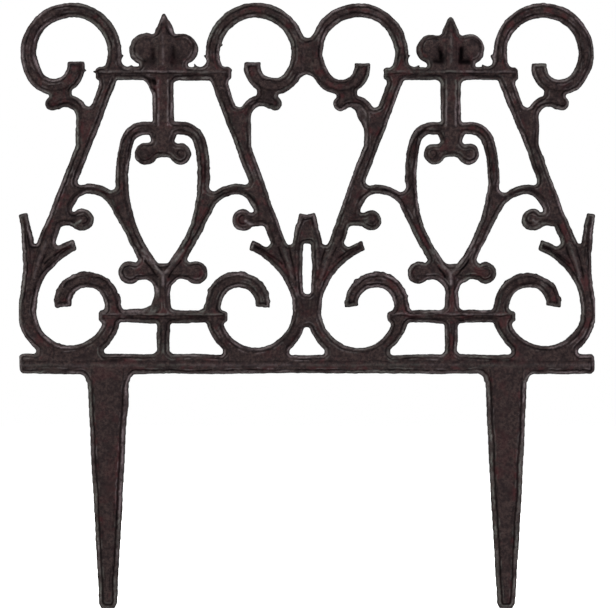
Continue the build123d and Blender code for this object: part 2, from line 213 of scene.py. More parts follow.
def spline_rows(places: np.ndarray, knots: int) -> np.ndarray:
    """Weights of a uniform cubic B-spline.

    Args:
        places: where to evaluate it, in knot spacings.
        knots: how many knots there are.

    Returns:
        A matrix with a row for each place and a column for each knot.
    """
    first = places.astype(int)
    t = places - first
    weights = (
        (1 - t) ** 3 / 6,
        (3 * t**3 - 6 * t**2 + 4) / 6,
        (-3 * t**3 + 3 * t**2 + 3 * t + 1) / 6,
        t**3 / 6,
    )
    matrix = np.zeros((len(places), knots))
    for offset, weight in enumerate(weights):
        matrix[np.arange(len(places)), first + offset] = weight
    return matrix


def mirrored_places(marks: tuple["Fillet | Line", ...]) -> list[tuple["Fillet | Line", float, int]]:
    """Each mark with the X it is mirrored about and the side of it, for both bays."""
    return [(mark, side.value * BAY_CENTRE, sign) for side in Side for sign in (-1, 1) for mark in marks]


def smooth_step(values: np.ndarray, low: float, high: float) -> np.ndarray:
    """0 below low, 1 above high and a smooth ramp between them."""
    t = np.clip((values - low) / (high - low), 0.0, 1.0)
    return t * t * (3 - 2 * t)


def distance_to(mask: np.ndarray, step: float, reach: float) -> np.ndarray:
    """Distance from every fine point to the nearest marked one.

    Args:
        mask: the marked points.
        step: distance between two points.
        reach: the longest distance of interest.

    Returns:
        Distances, with anything past the reach held at the reach.
    """
    radius = int(math.ceil(reach / step)) + 1
    far = float((radius + 1) ** 2)
    best = np.where(mask, 0.0, far)
    for shift_rows in (True, False):
        source = best.copy()
        for offset in range(1, radius + 1):
            for way in (-offset, offset):
                move = (0, way) if shift_rows else (way, 0)
                np.minimum(best, shifted(source, *move, fill=far) + offset**2, out=best)
    return np.minimum(np.sqrt(best) * step, reach)


@dataclass(frozen=True)
class Ripple:
    """One seeded wave of unevenness.

    Attributes:
        seed: picks its pattern, counted on from the face's own seed where there is one.
        wavelength_mm: typical distance from one bump to the next.
        size_mm: its standard deviation.
    """

    seed: int
    wavelength_mm: float
    size_mm: float

    def pattern(self, grid: Grid, face: int = 0) -> np.ndarray:
        """The wave with standard deviation 1."""
        return grid.noise(face + self.seed, self.wavelength_mm * MM)

    def field(self, grid: Grid, face: int = 0) -> np.ndarray:
        """The wave in its real size."""
        return self.size_mm * MM * self.pattern(grid, face)


@dataclass(frozen=True)
class Patches:
    """Seeded patches in which something shows.

    Attributes:
        seed: picks the pattern.
        wavelength_mm: typical distance from one patch to the next.
        low: level of the noise below which there is none.
        high: level above which it is full.
    """

    seed: int
    wavelength_mm: float
    low: float
    high: float

    def share(self, grid: Grid) -> np.ndarray:
        """How much of it shows at each point, from 0 to 1."""
        return smooth_step(grid.noise(self.seed, self.wavelength_mm * MM), self.low, self.high)


@dataclass(frozen=True)
class Band:
    """A soft line that runs along the outline.

    Attributes:
        place_mm: how far further in than the crease it lies.
        width_mm: half its width.
        strength: its strength in the middle, from 0 to 1.
    """

    place_mm: float
    width_mm: float
    strength: float

    def along(self, wander: np.ndarray) -> np.ndarray:
        """Its strength at points that lie a distance further in than the crease."""
        return self.strength * np.exp(-(((wander - self.place_mm * MM) / (self.width_mm * MM)) ** 2))


@dataclass(frozen=True)
class Fillet:
    """Iron that flowed into one inside corner, the same on both sides of a bay.

    Attributes:
        out_mm: distance from the bay's centre line.
        height_mm: height over the ground line.
        window_mm: how far from that place the corner is rounded.
        radius_mm: radius of the rounding.
    """

    out_mm: float
    height_mm: float
    window_mm: float
    radius_mm: float


@dataclass(frozen=True)
class Flaw:
    """A lump, a flash spike or a chip on the outline of the casting.

    Attributes:
        x_mm: place along the panel.
        height_mm: height over the ground line.
        turn: direction of its long axis from +X, in degrees.
        length_mm: half its length.
        width_mm: half its width.
        swell_mm: how far it moves the outline outwards, negative for a chip.
    """

    x_mm: float
    height_mm: float
    turn: float
    length_mm: float
    width_mm: float
    swell_mm: float

    def offset(self, x: np.ndarray, z: np.ndarray) -> np.ndarray:
        """How far the outline moves outwards at places.

        Args:
            x: X of the places.
            z: Z of the places.

        Returns:
            The offset at each place.
        """
        turn = math.radians(self.turn)
        along = (x - self.x_mm * MM) * math.cos(turn) + (z - self.height_mm * MM) * math.sin(turn)
        across = (z - self.height_mm * MM) * math.cos(turn) - (x - self.x_mm * MM) * math.sin(turn)
        spread = (along / (self.length_mm * MM)) ** 2 + (across / (self.width_mm * MM)) ** 2
        return self.swell_mm * MM * np.exp(-spread)


@dataclass(frozen=True)
class Drift:
    """A part of the pattern that sits a little off its mirrored place.

    Attributes:
        x_mm: middle of the part that is off.
        height_mm: its height over the ground line.
        reach_mm: how far the drift spreads.
        aside_mm: how far it moves along X.
        up_mm: how far it moves along Z.
        swell_mm: how far its outline moves outwards, negative where it is cast thinner.
    """

    x_mm: float
    height_mm: float
    reach_mm: float
    aside_mm: float
    up_mm: float
    swell_mm: float

    def share(self, x: np.ndarray, z: np.ndarray) -> np.ndarray:
        """How much of the drift reaches places.

        Args:
            x: X of the places.
            z: Z of the places.

        Returns:
            1 in the middle of the part, falling to 0 past its reach.
        """
        away = (x - self.x_mm * MM) ** 2 + (z - self.height_mm * MM) ** 2
        return np.exp(-(away / (self.reach_mm * MM) ** 2))


@dataclass(frozen=True)
class Flash:
    """Torn flash along the outside of the hooks.

    Attributes:
        out_mm: the hook's centre, out from the bay's centre line.
        height_mm: its height over the ground line.
        start_mm: distance from the centre at which the flash begins.
        full_mm: distance at which it is full.
        end_mm: distance past which there is none.
        base_mm: height over the ground line under which there is none.
        soft_mm: blur of its ends.
        peak: level of the noise at which the tallest teeth are cut off.
        teeth: the waves that it is torn into.
    """

    out_mm: float = 38.8
    height_mm: float = 37.5
    start_mm: float = 14.0
    full_mm: float = 15.0
    end_mm: float = 20.0
    base_mm: float = 32.0
    soft_mm: float = 0.8
    peak: float = 1.5
    teeth: Ripple = Ripple(14, 3.4, 0.36)

    def offset(self, grid: Grid) -> np.ndarray:
        """How far the flash moves the outline outwards at every point."""
        x, z = grid.places()
        hooks = np.zeros_like(x)
        for side in Side:
            for sign in (-1, 1):
                hook_x = side.value * BAY_CENTRE + sign * self.out_mm * MM
                away = np.hypot(x - hook_x, z - self.height_mm * MM)
                ring = smooth_step(away, self.start_mm * MM, self.full_mm * MM) * (away < self.end_mm * MM)
                hooks = np.maximum(hooks, ring * (z > self.base_mm * MM))
        teeth = np.clip(self.teeth.pattern(grid), 0.0, self.peak)
        return self.teeth.size_mm * MM * teeth * grid.blur(hooks, self.soft_mm * MM)


@dataclass(frozen=True)
class Line:
    """A ridge or a groove over the face of a bay, the same on both sides of it.

    Attributes:
        points_mm: its corners, each as the distance out from the bay's centre line and the height.
        rise_mm: height of a ridge, negative for a groove.
        width_mm: half its width.
    """

    points_mm: tuple[tuple[float, float], ...]
    rise_mm: float
    width_mm: float


def turned(
    out_mm: float, height_mm: float, radius_mm: float, start: float, end: float, parts: int = 12
) -> tuple[tuple[float, float], ...]:
    """Corners of a line that runs round an arc.

    Args:
        out_mm: the arc's centre, out from the bay's centre line.
        height_mm: the height of the centre over the ground line.
        radius_mm: the arc's radius.
        start: angle of the first corner from the way out, in degrees.
        end: angle of the last corner.
        parts: straight pieces that the arc is made of.

    Returns:
        Places along the arc, for a Line.
    """
    angles = [math.radians(start + (end - start) * part / parts) for part in range(parts + 1)]
    return tuple(
        (out_mm + radius_mm * math.cos(turn), height_mm + radius_mm * math.sin(turn)) for turn in angles
    )


FILLETS = (
    Fillet(20.8, 161.0, 4.6, 3.2),
    Fillet(30.2, 160.4, 3.4, 2.4),
    Fillet(24.4, 151.5, 3.4, 1.8),
    Fillet(33.5, 151.0, 2.6, 1.5),
    Fillet(4.7, 176.5, 3.0, 1.6),
    Fillet(4.4, 111.5, 4.6, 2.6),
    Fillet(6.6, 121.4, 2.4, 1.6),
    Fillet(44.5, 97.8, 3.2, 1.7),
    Fillet(24.2, 95.4, 4.6, 2.4),
    Fillet(49.0, 76.6, 4.6, 2.6),
    Fillet(56.4, 68.4, 4.0, 2.2),
    Fillet(0.0, 57.6, 4.0, 2.0),
    Fillet(12.6, 57.2, 2.6, 1.6),
    Fillet(21.6, 34.6, 3.0, 2.0),
    Fillet(30.4, 34.4, 2.6, 1.6),
    Fillet(5.0, 25.4, 3.0, 1.8),
    Fillet(22.6, 25.4, 3.0, 1.8),
    Fillet(31.6, 24.6, 2.6, 1.6),
    Fillet(33.0, 11.2, 3.4, 1.8),
    Fillet(64.6, 11.2, 3.4, 1.8),
    Fillet(46.6, 147.4, 3.2, 1.8),
    Fillet(39.4, 135.6, 3.6, 2.2),
)

MIDDLE_FILLETS = (
    Fillet(0.0, 153.6, 8.0, 5.0),
    Fillet(0.0, 173.6, 4.4, 2.6),
    Fillet(0.0, 25.4, 3.4, 1.7),
)

# Places where the bars are thicker: each window is a swell's reach and each radius its height.
SWELLS = (
    Fillet(45.0, 88.6, 3.0, 0.75),
    Fillet(18.4, 163.0, 2.6, 0.5),
    Fillet(48.6, 75.4, 3.2, 0.5),
)

LINES = (
    Line(((10.4, 64.2), (5.4, 57.9), (2.8, 54.4), (0.0, 51.6), (0.0, 46.4)), 0.22, 0.75),
    Line(((9.4, 58.6), (5.2, 53.4), (3.0, 50.6)), -0.3, 0.45),
    Line(((3.6, 57.0), (0.9, 53.9)), -0.26, 0.4),
    Line(((0.0, 30.8), (31.0, 30.8)), 0.17, 0.4),
    Line(((0.0, 29.9), (31.0, 29.9)), -0.22, 0.34),
    Line(((0.0, 156.7), (33.0, 156.7)), 0.15, 0.4),
    Line(((0.0, 155.8), (33.0, 155.8)), -0.2, 0.34),
    Line(((2.5, 152.2), (2.5, 129.0)), 0.24, 0.4),
    Line(turned(9.4, 114.4, 1.9, 40.0, 250.0), -0.2, 0.38),
    Line(turned(41.4, 80.0, 2.1, 60.0, 290.0), -0.24, 0.38),
    Line(((53.0, 76.4), (47.5, 77.0), (44.6, 78.2), (43.0, 79.6)), 0.28, 0.5),
    Line(((61.2, 68.0), (64.6, 59.0), (67.0, 50.0)), 0.1, 0.6),
    Line(((64.8, 66.4), (67.2, 58.0), (68.8, 49.0)), -0.24, 0.42),
    Line(((59.8, 65.6), (62.8, 58.0), (65.6, 50.0)), -0.24, 0.42),
    Line(turned(33.8, 31.8, 37.4, 68.0, 42.0), -0.26, 0.42),
    Line(turned(17.9, 52.4, 2.2, -60.0, 120.0), -0.18, 0.38),
    Line(turned(9.4, 168.6, 5.3, -20.0, 120.0), -0.2, 0.4),
    Line(((4.9, 161.8), (5.6, 168.4)), -0.26, 1.5),
    Line(((4.9, 161.8), (9.4, 162.2)), -0.26, 1.5),
    Line(((0.0, 161.0), (0.0, 176.0)), 0.08, 0.6),
    Line(((0.0, 6.3), (75.6, 6.3)), -0.13, 0.4),
    Line(((0.0, 4.3), (75.6, 4.3)), 0.06, 0.7),
)

FLAWS = (
    Flaw(-110.6, 156.9, 0.0, 1.5, 0.42, 1.6),
    Flaw(-93.3, 170.9, 160.0, 0.9, 0.4, 1.1),
    Flaw(-44.4, 170.8, 0.0, 0.8, 0.4, 1.0),
    Flaw(-115.2, 157.6, 0.0, 0.9, 0.4, 1.2),
    Flaw(-139.9, 161.0, 100.0, 3.4, 1.6, 0.7),
    Flaw(-81.2, 150.0, 117.0, 3.8, 2.0, 3.4),
    Flaw(-79.4, 39.5, 90.0, 5.6, 1.7, 1.1),
    Flaw(-80.9, 35.2, 46.0, 4.0, 1.8, 2.4),
    Flaw(-145.2, 30.0, 90.0, 15.0, 6.0, 0.5),
    Flaw(-87.6, 33.6, 0.0, 7.5, 1.2, 0.8),
    Flaw(-93.0, -15.0, 90.0, 7.0, 1.6, 0.7),
    Flaw(-71.0, 167.0, 90.0, 4.0, 1.6, 0.7),
    Flaw(26.6, 133.8, 118.0, 4.6, 2.2, 3.0),
    Flaw(17.6, 138.4, 90.0, 2.4, 1.4, 0.8),
    Flaw(94.6, 162.8, 55.0, 3.2, 1.8, 1.0),
    Flaw(75.0, 186.8, 0.0, 2.6, 1.6, -1.9),
    Flaw(66.0, 42.0, 90.0, 3.6, 1.6, 0.7),
    Flaw(83.0, 42.0, 90.0, 5.0, 1.6, 0.8),
    Flaw(-20.0, 152.0, 30.0, 3.4, 1.8, 0.6),
    Flaw(-26.4, 14.4, 0.0, 13.0, 2.5, -0.3),
    Flaw(26.4, 14.4, 0.0, 13.0, 2.5, -0.3),
    Flaw(-17.0, 84.0, 111.0, 16.0, 1.6, -0.4),
    Flaw(16.5, 84.0, 69.0, 16.0, 1.6, -0.45),
    Flaw(-131.5, 54.5, 49.0, 11.0, 1.8, 0.3),
    Flaw(0.0, 55.1, 90.0, 12.0, 3.2, -0.45),
    Flaw(0.0, 0.0, 0.0, 45.0, 2.0, -0.4),
    Flaw(20.0, 10.6, 0.0, 55.0, 2.0, -0.25),
    Flaw(-96.2, -60.0, 86.2, 45.0, 1.8, 0.3),
    Flaw(95.9, -60.0, 93.3, 50.0, 1.8, 0.35),
    Flaw(111.2, -60.0, 87.1, 50.0, 1.8, 0.55),
    Flaw(-50.0, 156.0, 0.0, 14.0, 5.0, 0.4),
    Flaw(-112.0, 156.0, 0.0, 9.0, 5.0, 0.35),
    Flaw(-85.0, 85.0, 0.0, 50.0, 20.0, 0.28),
    Flaw(-85.0, 132.0, 0.0, 26.0, 22.0, 0.18),
    Flaw(95.0, 36.0, 0.0, 50.0, 24.0, -0.2),
    Flaw(4.0, 178.0, 0.0, 8.0, 5.0, -0.3),
    Flaw(-57.5, 152.6, 0.0, 9.0, 1.2, 0.5),
    Flaw(-70.8, 180.5, 115.0, 4.5, 1.4, 1.0),
    Flaw(-57.0, 168.5, 90.0, 4.0, 1.4, 0.5),
    Flaw(57.4, 168.0, 90.0, 4.0, 1.4, 0.5),
    Flaw(65.2, 176.4, 0.0, 4.0, 1.2, -0.5),
)

HALF_PARTS = (
    (47.7, 171.0, 22.0),
    (44.0, 141.0, 13.0),
    (32.0, 119.0, 18.0),
    (24.0, 97.0, 15.0),
    (42.0, 82.0, 12.0),
    (60.0, 66.0, 14.0),
    (62.0, 34.0, 18.0),
    (42.0, 20.0, 17.0),
    (37.0, 46.0, 13.0),
    (13.0, 54.0, 12.0),
)

CENTRE_PARTS = (
    (0.0, 172.0, 14.0),
    (0.0, 122.0, 14.0),
    (0.0, 30.0, 14.0),
)

OFFSETS = (
    # Left bay: its left half, right half and centre line.
    (-0.06, 0.04, 0.26), (0.44, -0.02, 0.25), (-0.05, 0.08, 0.2), (-0.08, 0.3, -0.02),
    (-0.11, 0.12, 0.2), (-0.38, -0.53, 0.66), (-0.1, 0.26, 0.52), (0.05, -0.05, 0.34),
    (-0.01, -0.51, -0.32), (-0.08, 0.09, 0.24), (1.27, -0.22, 0.31), (0.13, 0.4, -0.02),
    (0.27, 0.02, 0.14), (-0.77, -0.19, -0.12), (-0.57, -0.09, 0.06), (-0.59, -0.56, 0.0),
    (-0.14, -0.65, -0.5), (-0.29, -0.4, -0.14), (-0.24, -0.52, 0.34), (-0.62, 0.14, 0.11),
    (0.61, 0.22, 0.27), (-0.01, 0.12, 0.12), (0.2, -0.3, 0.43),
    # Right bay: the same.
    (-0.8, -0.56, -0.13), (-0.1, 0.26, 0.21), (0.2, -0.18, -0.14), (0.87, 0.11, -0.25),
    (0.49, -0.27, -0.06), (0.86, -0.72, 0.07), (0.12, -0.55, -0.4), (0.33, -0.5, -0.38),
    (0.83, -0.54, 0.06), (0.92, 0.08, -0.01), (0.73, -0.61, -0.03), (-0.01, 0.02, 0.16),
    (1.11, 0.03, -0.13), (0.64, -0.47, -0.24), (0.63, 0.07, 0.48), (1.08, -0.46, 0.22),
    (1.3, -0.24, 0.18), (0.14, -0.08, -0.16), (0.6, -0.69, -0.28), (0.78, -0.12, -0.1),
    (0.11, -0.18, -0.07), (0.22, -0.17, -0.12), (0.46, -0.18, 0.58),
)


def placed_drifts() -> tuple[Drift, ...]:
    """Puts together the parts of both bays, each as a place and a reach, and their offsets."""
    places = [
        (round(side.value * BAY_CENTRE_MM + sign * out, 1), height, reach)
        for side in Side
        for sign, parts in ((-1, HALF_PARTS), (1, HALF_PARTS), (0, CENTRE_PARTS))
        for out, height, reach in parts
    ]
    return tuple(Drift(*place, *offset) for place, offset in zip(places, OFFSETS))


DRIFTS = placed_drifts()


@dataclass(frozen=True)
class Rounding:
    """How the relief is softened and carried into filled corners.

    Attributes:
        near: blur that carries the relief just past a node's edge.
        far: blur that carries it into a filled corner.
        thin: shares of iron nearby, between which the far blur gives way to the near one.
        fill_top: most height of the carried relief.
        power: weight of the high parts in a filled corner.
        lift: rise over that weighted mean.
        buried: how much deeper than in its own node a point lies, for no lift and for all of it.
        margin: how far past the outline the relief is kept.
        valley: blur that fills valleys.
        valley_depth: depth that stays in a filled valley.
        valley_rise: most that a valley is filled.
        lip: width of the land along the outline.
        soft: the last blur.
        soft_trace: least share of iron that the last blur is divided by.
    """

    near: float = 0.55 * MM
    far: float = 1.6 * MM
    thin: tuple[float, float] = (0.02, 0.2)
    fill_top: float = 3.4 * MM
    power: int = 6
    lift: float = 1.1
    buried: tuple[float, float] = (0.6 * MM, 1.4 * MM)
    margin: float = 0.8 * MM
    valley: float = 0.85 * MM
    valley_depth: float = 0.04 * MM
    valley_rise: float = 1.2 * MM
    lip: float = 0.12 * MM
    soft: float = 0.24 * MM
    soft_trace: float = 0.05


@dataclass(frozen=True)
class Unevenness:
    """The waves of the outline and of the drawn lines.

    Attributes:
        nicks: the small waves of the outline, which are calmer on the stakes.
        waves: the slow ones.
        stake_calm: share of the nicks that the stakes lack.
        stake_top: how far under the ground line the stakes' own look begins.
        line_x: how far the drawn lines waver along X.
        line_z: how far they waver along Z.
        line_patches: where they are at their strongest.
        line_edge: distances from the outline between which they begin.
    """

    nicks: tuple[Ripple, Ripple] = (Ripple(12, 5.0, 0.06), Ripple(13, 1.9, 0.05))
    waves: Ripple = Ripple(11, 14.0, 0.1)
    stake_calm: float = 0.6
    stake_top: float = 8 * MM
    line_x: Ripple = Ripple(41, 6.0, 0.16)
    line_z: Ripple = Ripple(42, 6.0, 0.16)
    line_patches: Patches = Patches(43, 8.0, -1.1, 0.3)
    line_edge: tuple[float, float] = (0.5 * MM, 1.2 * MM)


@dataclass(frozen=True)
class Wear:
    """Where creases are darkened and edges lightened: part dark finish and abrasion, part painted shade in
    creases and hollows and painted highlight along edges.

    Attributes:
        crease_in: distance of the dark crease from the edge.
        stake_crease: how much further in it is on the stakes.
        crease_wide: half the crease's width.
        stake_wide: how much wider that is on the stakes.
        crease_waves: how the crease wavers.
        crease_patches: where the crease is full.
        crease_least: its strength elsewhere.
        stake_least: its least strength on the stakes.
        second: a fainter crease further in.
        second_patches: where that one shows.
        groove_depth: depth at which a drawn groove is black.
        crest_height: height at which a drawn ridge is fully lightened, part abrasion and part painted
            highlight.
        hollow_blur: blur before the relief's curvature is taken.
        hollow: curvatures between which a hollow is darkened with painted shade.
        hollow_edge: distances from the outline between which hollows begin.
        hollow_dark: how dark the painted shade in a hollow is.
        hollow_clear: blur of the filled corners, which have no dark hollow.
        outer: the light line on the bevel, part abrasion and part painted highlight.
        outer_patches: where that line is full.
        outer_least: its strength elsewhere.
        inner: the light line inside the crease, part abrasion and part painted highlight.
        inner_patches: where that line shows.
        bevel: distances out from the crease between which the bevel is lightened, part abrasion and part
            painted highlight.
        bevel_patches: where it is.
        bevel_light_share: how light it is there.
    """

    crease_in: float = 1.95 * MM
    stake_crease: float = 0.35 * MM
    crease_wide: float = 0.33
    stake_wide: float = 0.12
    crease_waves: tuple[Ripple, Ripple] = (Ripple(21, 15.0, 0.26), Ripple(23, 4.0, 0.09))
    crease_patches: Patches = Patches(22, 8.0, -0.9, 0.7)
    crease_least: float = 0.2
    stake_least: float = 0.95
    second: Band = Band(1.4, 0.32, 0.45)
    second_patches: Patches = Patches(25, 7.0, 0.0, 1.3)
    groove_depth: float = 0.22 * MM
    crest_height: float = 0.26 * MM
    hollow_blur: float = 0.4 * MM
    hollow: tuple[float, float] = (260.0, 900.0)
    hollow_edge: tuple[float, float] = (0.9 * MM, 1.3 * MM)
    hollow_dark: float = 0.55
    hollow_clear: float = 0.8 * MM
    outer: Band = Band(-1.1, 0.34, 1.0)
    outer_patches: Patches = Patches(24, 7.0, -0.9, 0.9)
    outer_least: float = 0.05
    inner: Band = Band(0.7, 0.32, 0.5)
    inner_patches: Patches = Patches(26, 6.0, -0.3, 1.2)
    bevel: tuple[float, float] = (0.3 * MM, 0.6 * MM)
    bevel_patches: Patches = Patches(27, 10.0, -1.0, 0.6)
    bevel_light_share: float = 0.3


@dataclass(frozen=True)
class SandMarks:
    """What the sand of the mould leaves on a face.

    Attributes:
        waves: its unevenness, from coarse to fine.
        pits: the pits, with their depth for each level of noise over pit_level.
        pit_level: level of the noise over which there is a pit.
        chips: the chips along the outline, likewise.
        chip_level: level of the noise over which there is a chip.
        chip_edge: how near to the outline the chips are, as ends of a ramp.
        streak: the wavering of streaks that follow the outline.
        streak_apart: distance that turns a streak's wave by one radian.
        streak_height: half the height of a streak.
        streak_edge: distances from the outline between which they begin.
        crease_depth: depth of a full crease.
        arris_height: height that the lightened edge adds to the relief where it is full.
    """

    waves: tuple[Ripple, ...] = (Ripple(0, 6.5, 0.055), Ripple(1, 2.6, 0.035), Ripple(2, 1.35, 0.022))
    pits: Ripple = Ripple(3, 2.4, 0.16)
    pit_level: float = 1.9
    chips: Ripple = Ripple(4, 3.4, 0.2)
    chip_level: float = 1.5
    chip_edge: tuple[float, float] = (-1.5 * MM, -0.4 * MM)
    streak: Ripple = Ripple(5, 12.0, 1.3)
    streak_apart: float = 0.21 * MM
    streak_height: float = 0.01 * MM
    streak_edge: tuple[float, float] = (1.6 * MM, 2.4 * MM)
    crease_depth: float = 0.3 * MM
    arris_height: float = 0.06 * MM


@dataclass
class Casting:
    """The whole casting as height fields, read from the frame's nodes.

    Attributes:
        grid: the points the fields are known at.
        corner_radius: radius of every plain inside corner.
        land: half thickness where the two halves of the mould met.
        bevel_slope: rise of the bevel for each unit in from the edge.
        outline_soft: blur of the outline.
        parting: how far the mould line stands out.
        rounding: how the relief is softened.
        uneven: the waves of its outline and lines.
        wear: where creases are darkened, part dark finish and part painted shade, and edges lightened, part
            abrasion and part painted highlight.
        sand: the marks on its faces.
        flash: the torn flash on the hooks.
        face_seeds: the seeds of the front's and the back's marks.
    """

    grid: Grid = field(default_factory=Grid)
    corner_radius: float = 1.2 * MM
    land: float = 1.9 * MM
    bevel_slope: float = 1.36
    outline_soft: float = 0.3 * MM
    parting: float = 0.14 * MM
    rounding: Rounding = Rounding()
    uneven: Unevenness = Unevenness()
    wear: Wear = Wear()
    sand: SandMarks = SandMarks()
    flash: Flash = Flash()
    face_seeds: tuple[int, int] = (101, 201)

    def read(self) -> None:
        """Fills every field: outline, front and back heights, and where creases are darkened and edges
        lightened.
        """
        height = self.nodes_height()
        solid = height > 0
        filled = self.fill_corners(solid)
        self.outline = self.signed_distance(filled)
        self.outline += self.unevenness()
        self.inward = np.maximum(self.outline, 0.0)
        self.relief = self.rounded(height, solid)
        self.rise = self.drawn_lines()
        self.shade_lines()
        self.front, self.back = (self.cast_face(seed) for seed in self.face_seeds)

    def nodes_height(self) -> np.ndarray:
        """The front height of the frame's nodes over the plane.

        Returns:
            The distance of the foremost surface from the middle plane, 0 where there is none.
        """
        grid = self.grid
        height = np.zeros(grid.shape)
        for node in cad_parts.values():
            mesh = node.data
            mesh.calc_loop_triangles()
            count = len(mesh.loop_triangles)
            corners = np.zeros(count * 3, dtype=np.int32)
            mesh.loop_triangles.foreach_get("vertices", corners)
            points = np.zeros(len(mesh.vertices) * 3, dtype=np.float32)
            mesh.vertices.foreach_get("co", points)
            triangles = points.reshape(-1, 3)[corners.reshape(-1, 3)].astype(float)
            for triangle in triangles:
                self.rasterise(height, triangle)
        return self.drifted(height)

    def rasterise(self, height: np.ndarray, triangle: np.ndarray) -> None:
        """Raises the height under one triangle that faces the front.

        Args:
            height: the field that is raised in place.
            triangle: three corners, as rows of X, Y, Z.
        """
        grid = self.grid
        u = triangle[:, 0] / grid.step + 2 * grid.half_columns
        v = triangle[:, 2] / grid.step + 2 * grid.rows_below
        area = (u[1] - u[0]) * (v[2] - v[0]) - (u[2] - u[0]) * (v[1] - v[0])
        if area < 1e-6:
            return
        low_u, high_u = math.ceil(u.min() - 1e-6), math.floor(u.max() + 1e-6)
        low_v, high_v = math.ceil(v.min() - 1e-6), math.floor(v.max() + 1e-6)
        if high_u < low_u or high_v < low_v:
            return
        us = np.arange(low_u, high_u + 1)[:, None]
        vs = np.arange(low_v, high_v + 1)[None, :]
        second = ((us - u[0]) * (v[2] - v[0]) - (u[2] - u[0]) * (vs - v[0])) / area
        third = ((u[1] - u[0]) * (vs - v[0]) - (us - u[0]) * (v[1] - v[0])) / area
        first = 1 - second - third
        inside = (first > -1e-4) & (second > -1e-4) & (third > -1e-4)
        depth = -(first * triangle[0, 1] + second * triangle[1, 1] + third * triangle[2, 1])
        patch = height[low_u:high_u + 1, low_v:high_v + 1]
        np.maximum(patch, np.where(inside, depth, 0.0), out=patch)

    def drifted(self, height: np.ndarray) -> np.ndarray:
        """Moves parts of the pattern off their mirrored places.

        Args:
            height: the heights as the frame has them.

        Returns:
            The heights with each drift applied.
        """
        x, z = self.grid.places()
        aside, up = np.zeros_like(x), np.zeros_like(x)
        for drift in DRIFTS:
            share = drift.share(x, z)
            aside += share * drift.aside_mm * MM
            up += share * drift.up_mm * MM
        moved = self.grid.sample(height, x - aside, z - up)
        covered = self.grid.sample((height > 0).astype(float), x - aside, z - up)
        return np.where(covered > 0.5, moved / np.maximum(covered, 0.5), 0.0)

    def fill_corners(self, solid: np.ndarray) -> np.ndarray:
        """Rounds the inside corners of the outline.

        Args:
            solid: where the frame has iron.

        Returns:
            Where the casting has iron.
        """
        spare_mm = 1.0
        filled = self.closed(solid, self.corner_radius)
        xs, zs = self.grid.axes()
        middles = [(fillet, 0.0, 1) for fillet in MIDDLE_FILLETS]
        for fillet, centre, sign in mirrored_places(FILLETS) + middles:
            middle = centre + sign * fillet.out_mm * MM
            reach = (fillet.window_mm + fillet.radius_mm + spare_mm) * MM
            i0, i1 = np.searchsorted(xs, (middle - reach, middle + reach))
            j0, j1 = np.searchsorted(zs, (fillet.height_mm * MM - reach, fillet.height_mm * MM + reach))
            window = (slice(i0, i1), slice(j0, j1))
            away = np.hypot(xs[i0:i1, None] - middle, zs[None, j0:j1] - fillet.height_mm * MM)
            corner = self.closed(solid[window], fillet.radius_mm * MM)
            filled[window] |= corner & (away < fillet.window_mm * MM)
        return filled

    def closed(self, solid: np.ndarray, radius: float) -> np.ndarray:
        """Fills what a disc of a radius can't reach from outside.

        Args:
            solid: where there is iron.
            radius: the disc's radius.

        Returns:
            The iron with those places filled.
        """
        step = self.grid.step
        grown = distance_to(solid, step, radius + 2 * step) <= radius
        return (distance_to(~grown, step, radius + 2 * step) > radius) | solid

    def signed_distance(self, filled: np.ndarray) -> np.ndarray:
        """Distance to the outline, smoothed along it.

        Args:
            filled: where the casting has iron.

        Returns:
            Distances, positive inside the iron.
        """
        step = self.grid.step
        inside = distance_to(~filled, step, FIELD_REACH) - step / 2
        outside = distance_to(filled, step, FIELD_REACH) - step / 2
        return self.grid.blur(np.where(filled, inside, -outside), self.outline_soft)

    def on_stakes(self) -> np.ndarray:
        """1 at every point of the stakes, 0 over the ground line."""
        return smooth_step(-self.grid.places()[1], 0.0, self.uneven.stake_top)

    def unevenness(self) -> np.ndarray:
        """How far the cast outline lies outside the clean one.

        Returns:
            An offset for every point, from slow waves, small nicks, torn flash on the hooks and single flaws.
        """
        grid, uneven = self.grid, self.uneven
        x, z = grid.places()
        offset = uneven.nicks[0].field(grid) + uneven.nicks[1].field(grid)
        offset *= 1 - uneven.stake_calm * self.on_stakes()
        offset += uneven.waves.field(grid)
        offset += self.flash.offset(grid)
        for swell, centre, sign in mirrored_places(SWELLS):
            away = np.hypot(x - centre - sign * swell.out_mm * MM, z - swell.height_mm * MM)
            offset += swell.radius_mm * MM * np.exp(-((away / (swell.window_mm * MM)) ** 2))
        for drift in DRIFTS:
            offset += drift.swell_mm * MM * drift.share(x, z)
        for flaw in FLAWS:
            offset += flaw.offset(x, z)
        return offset

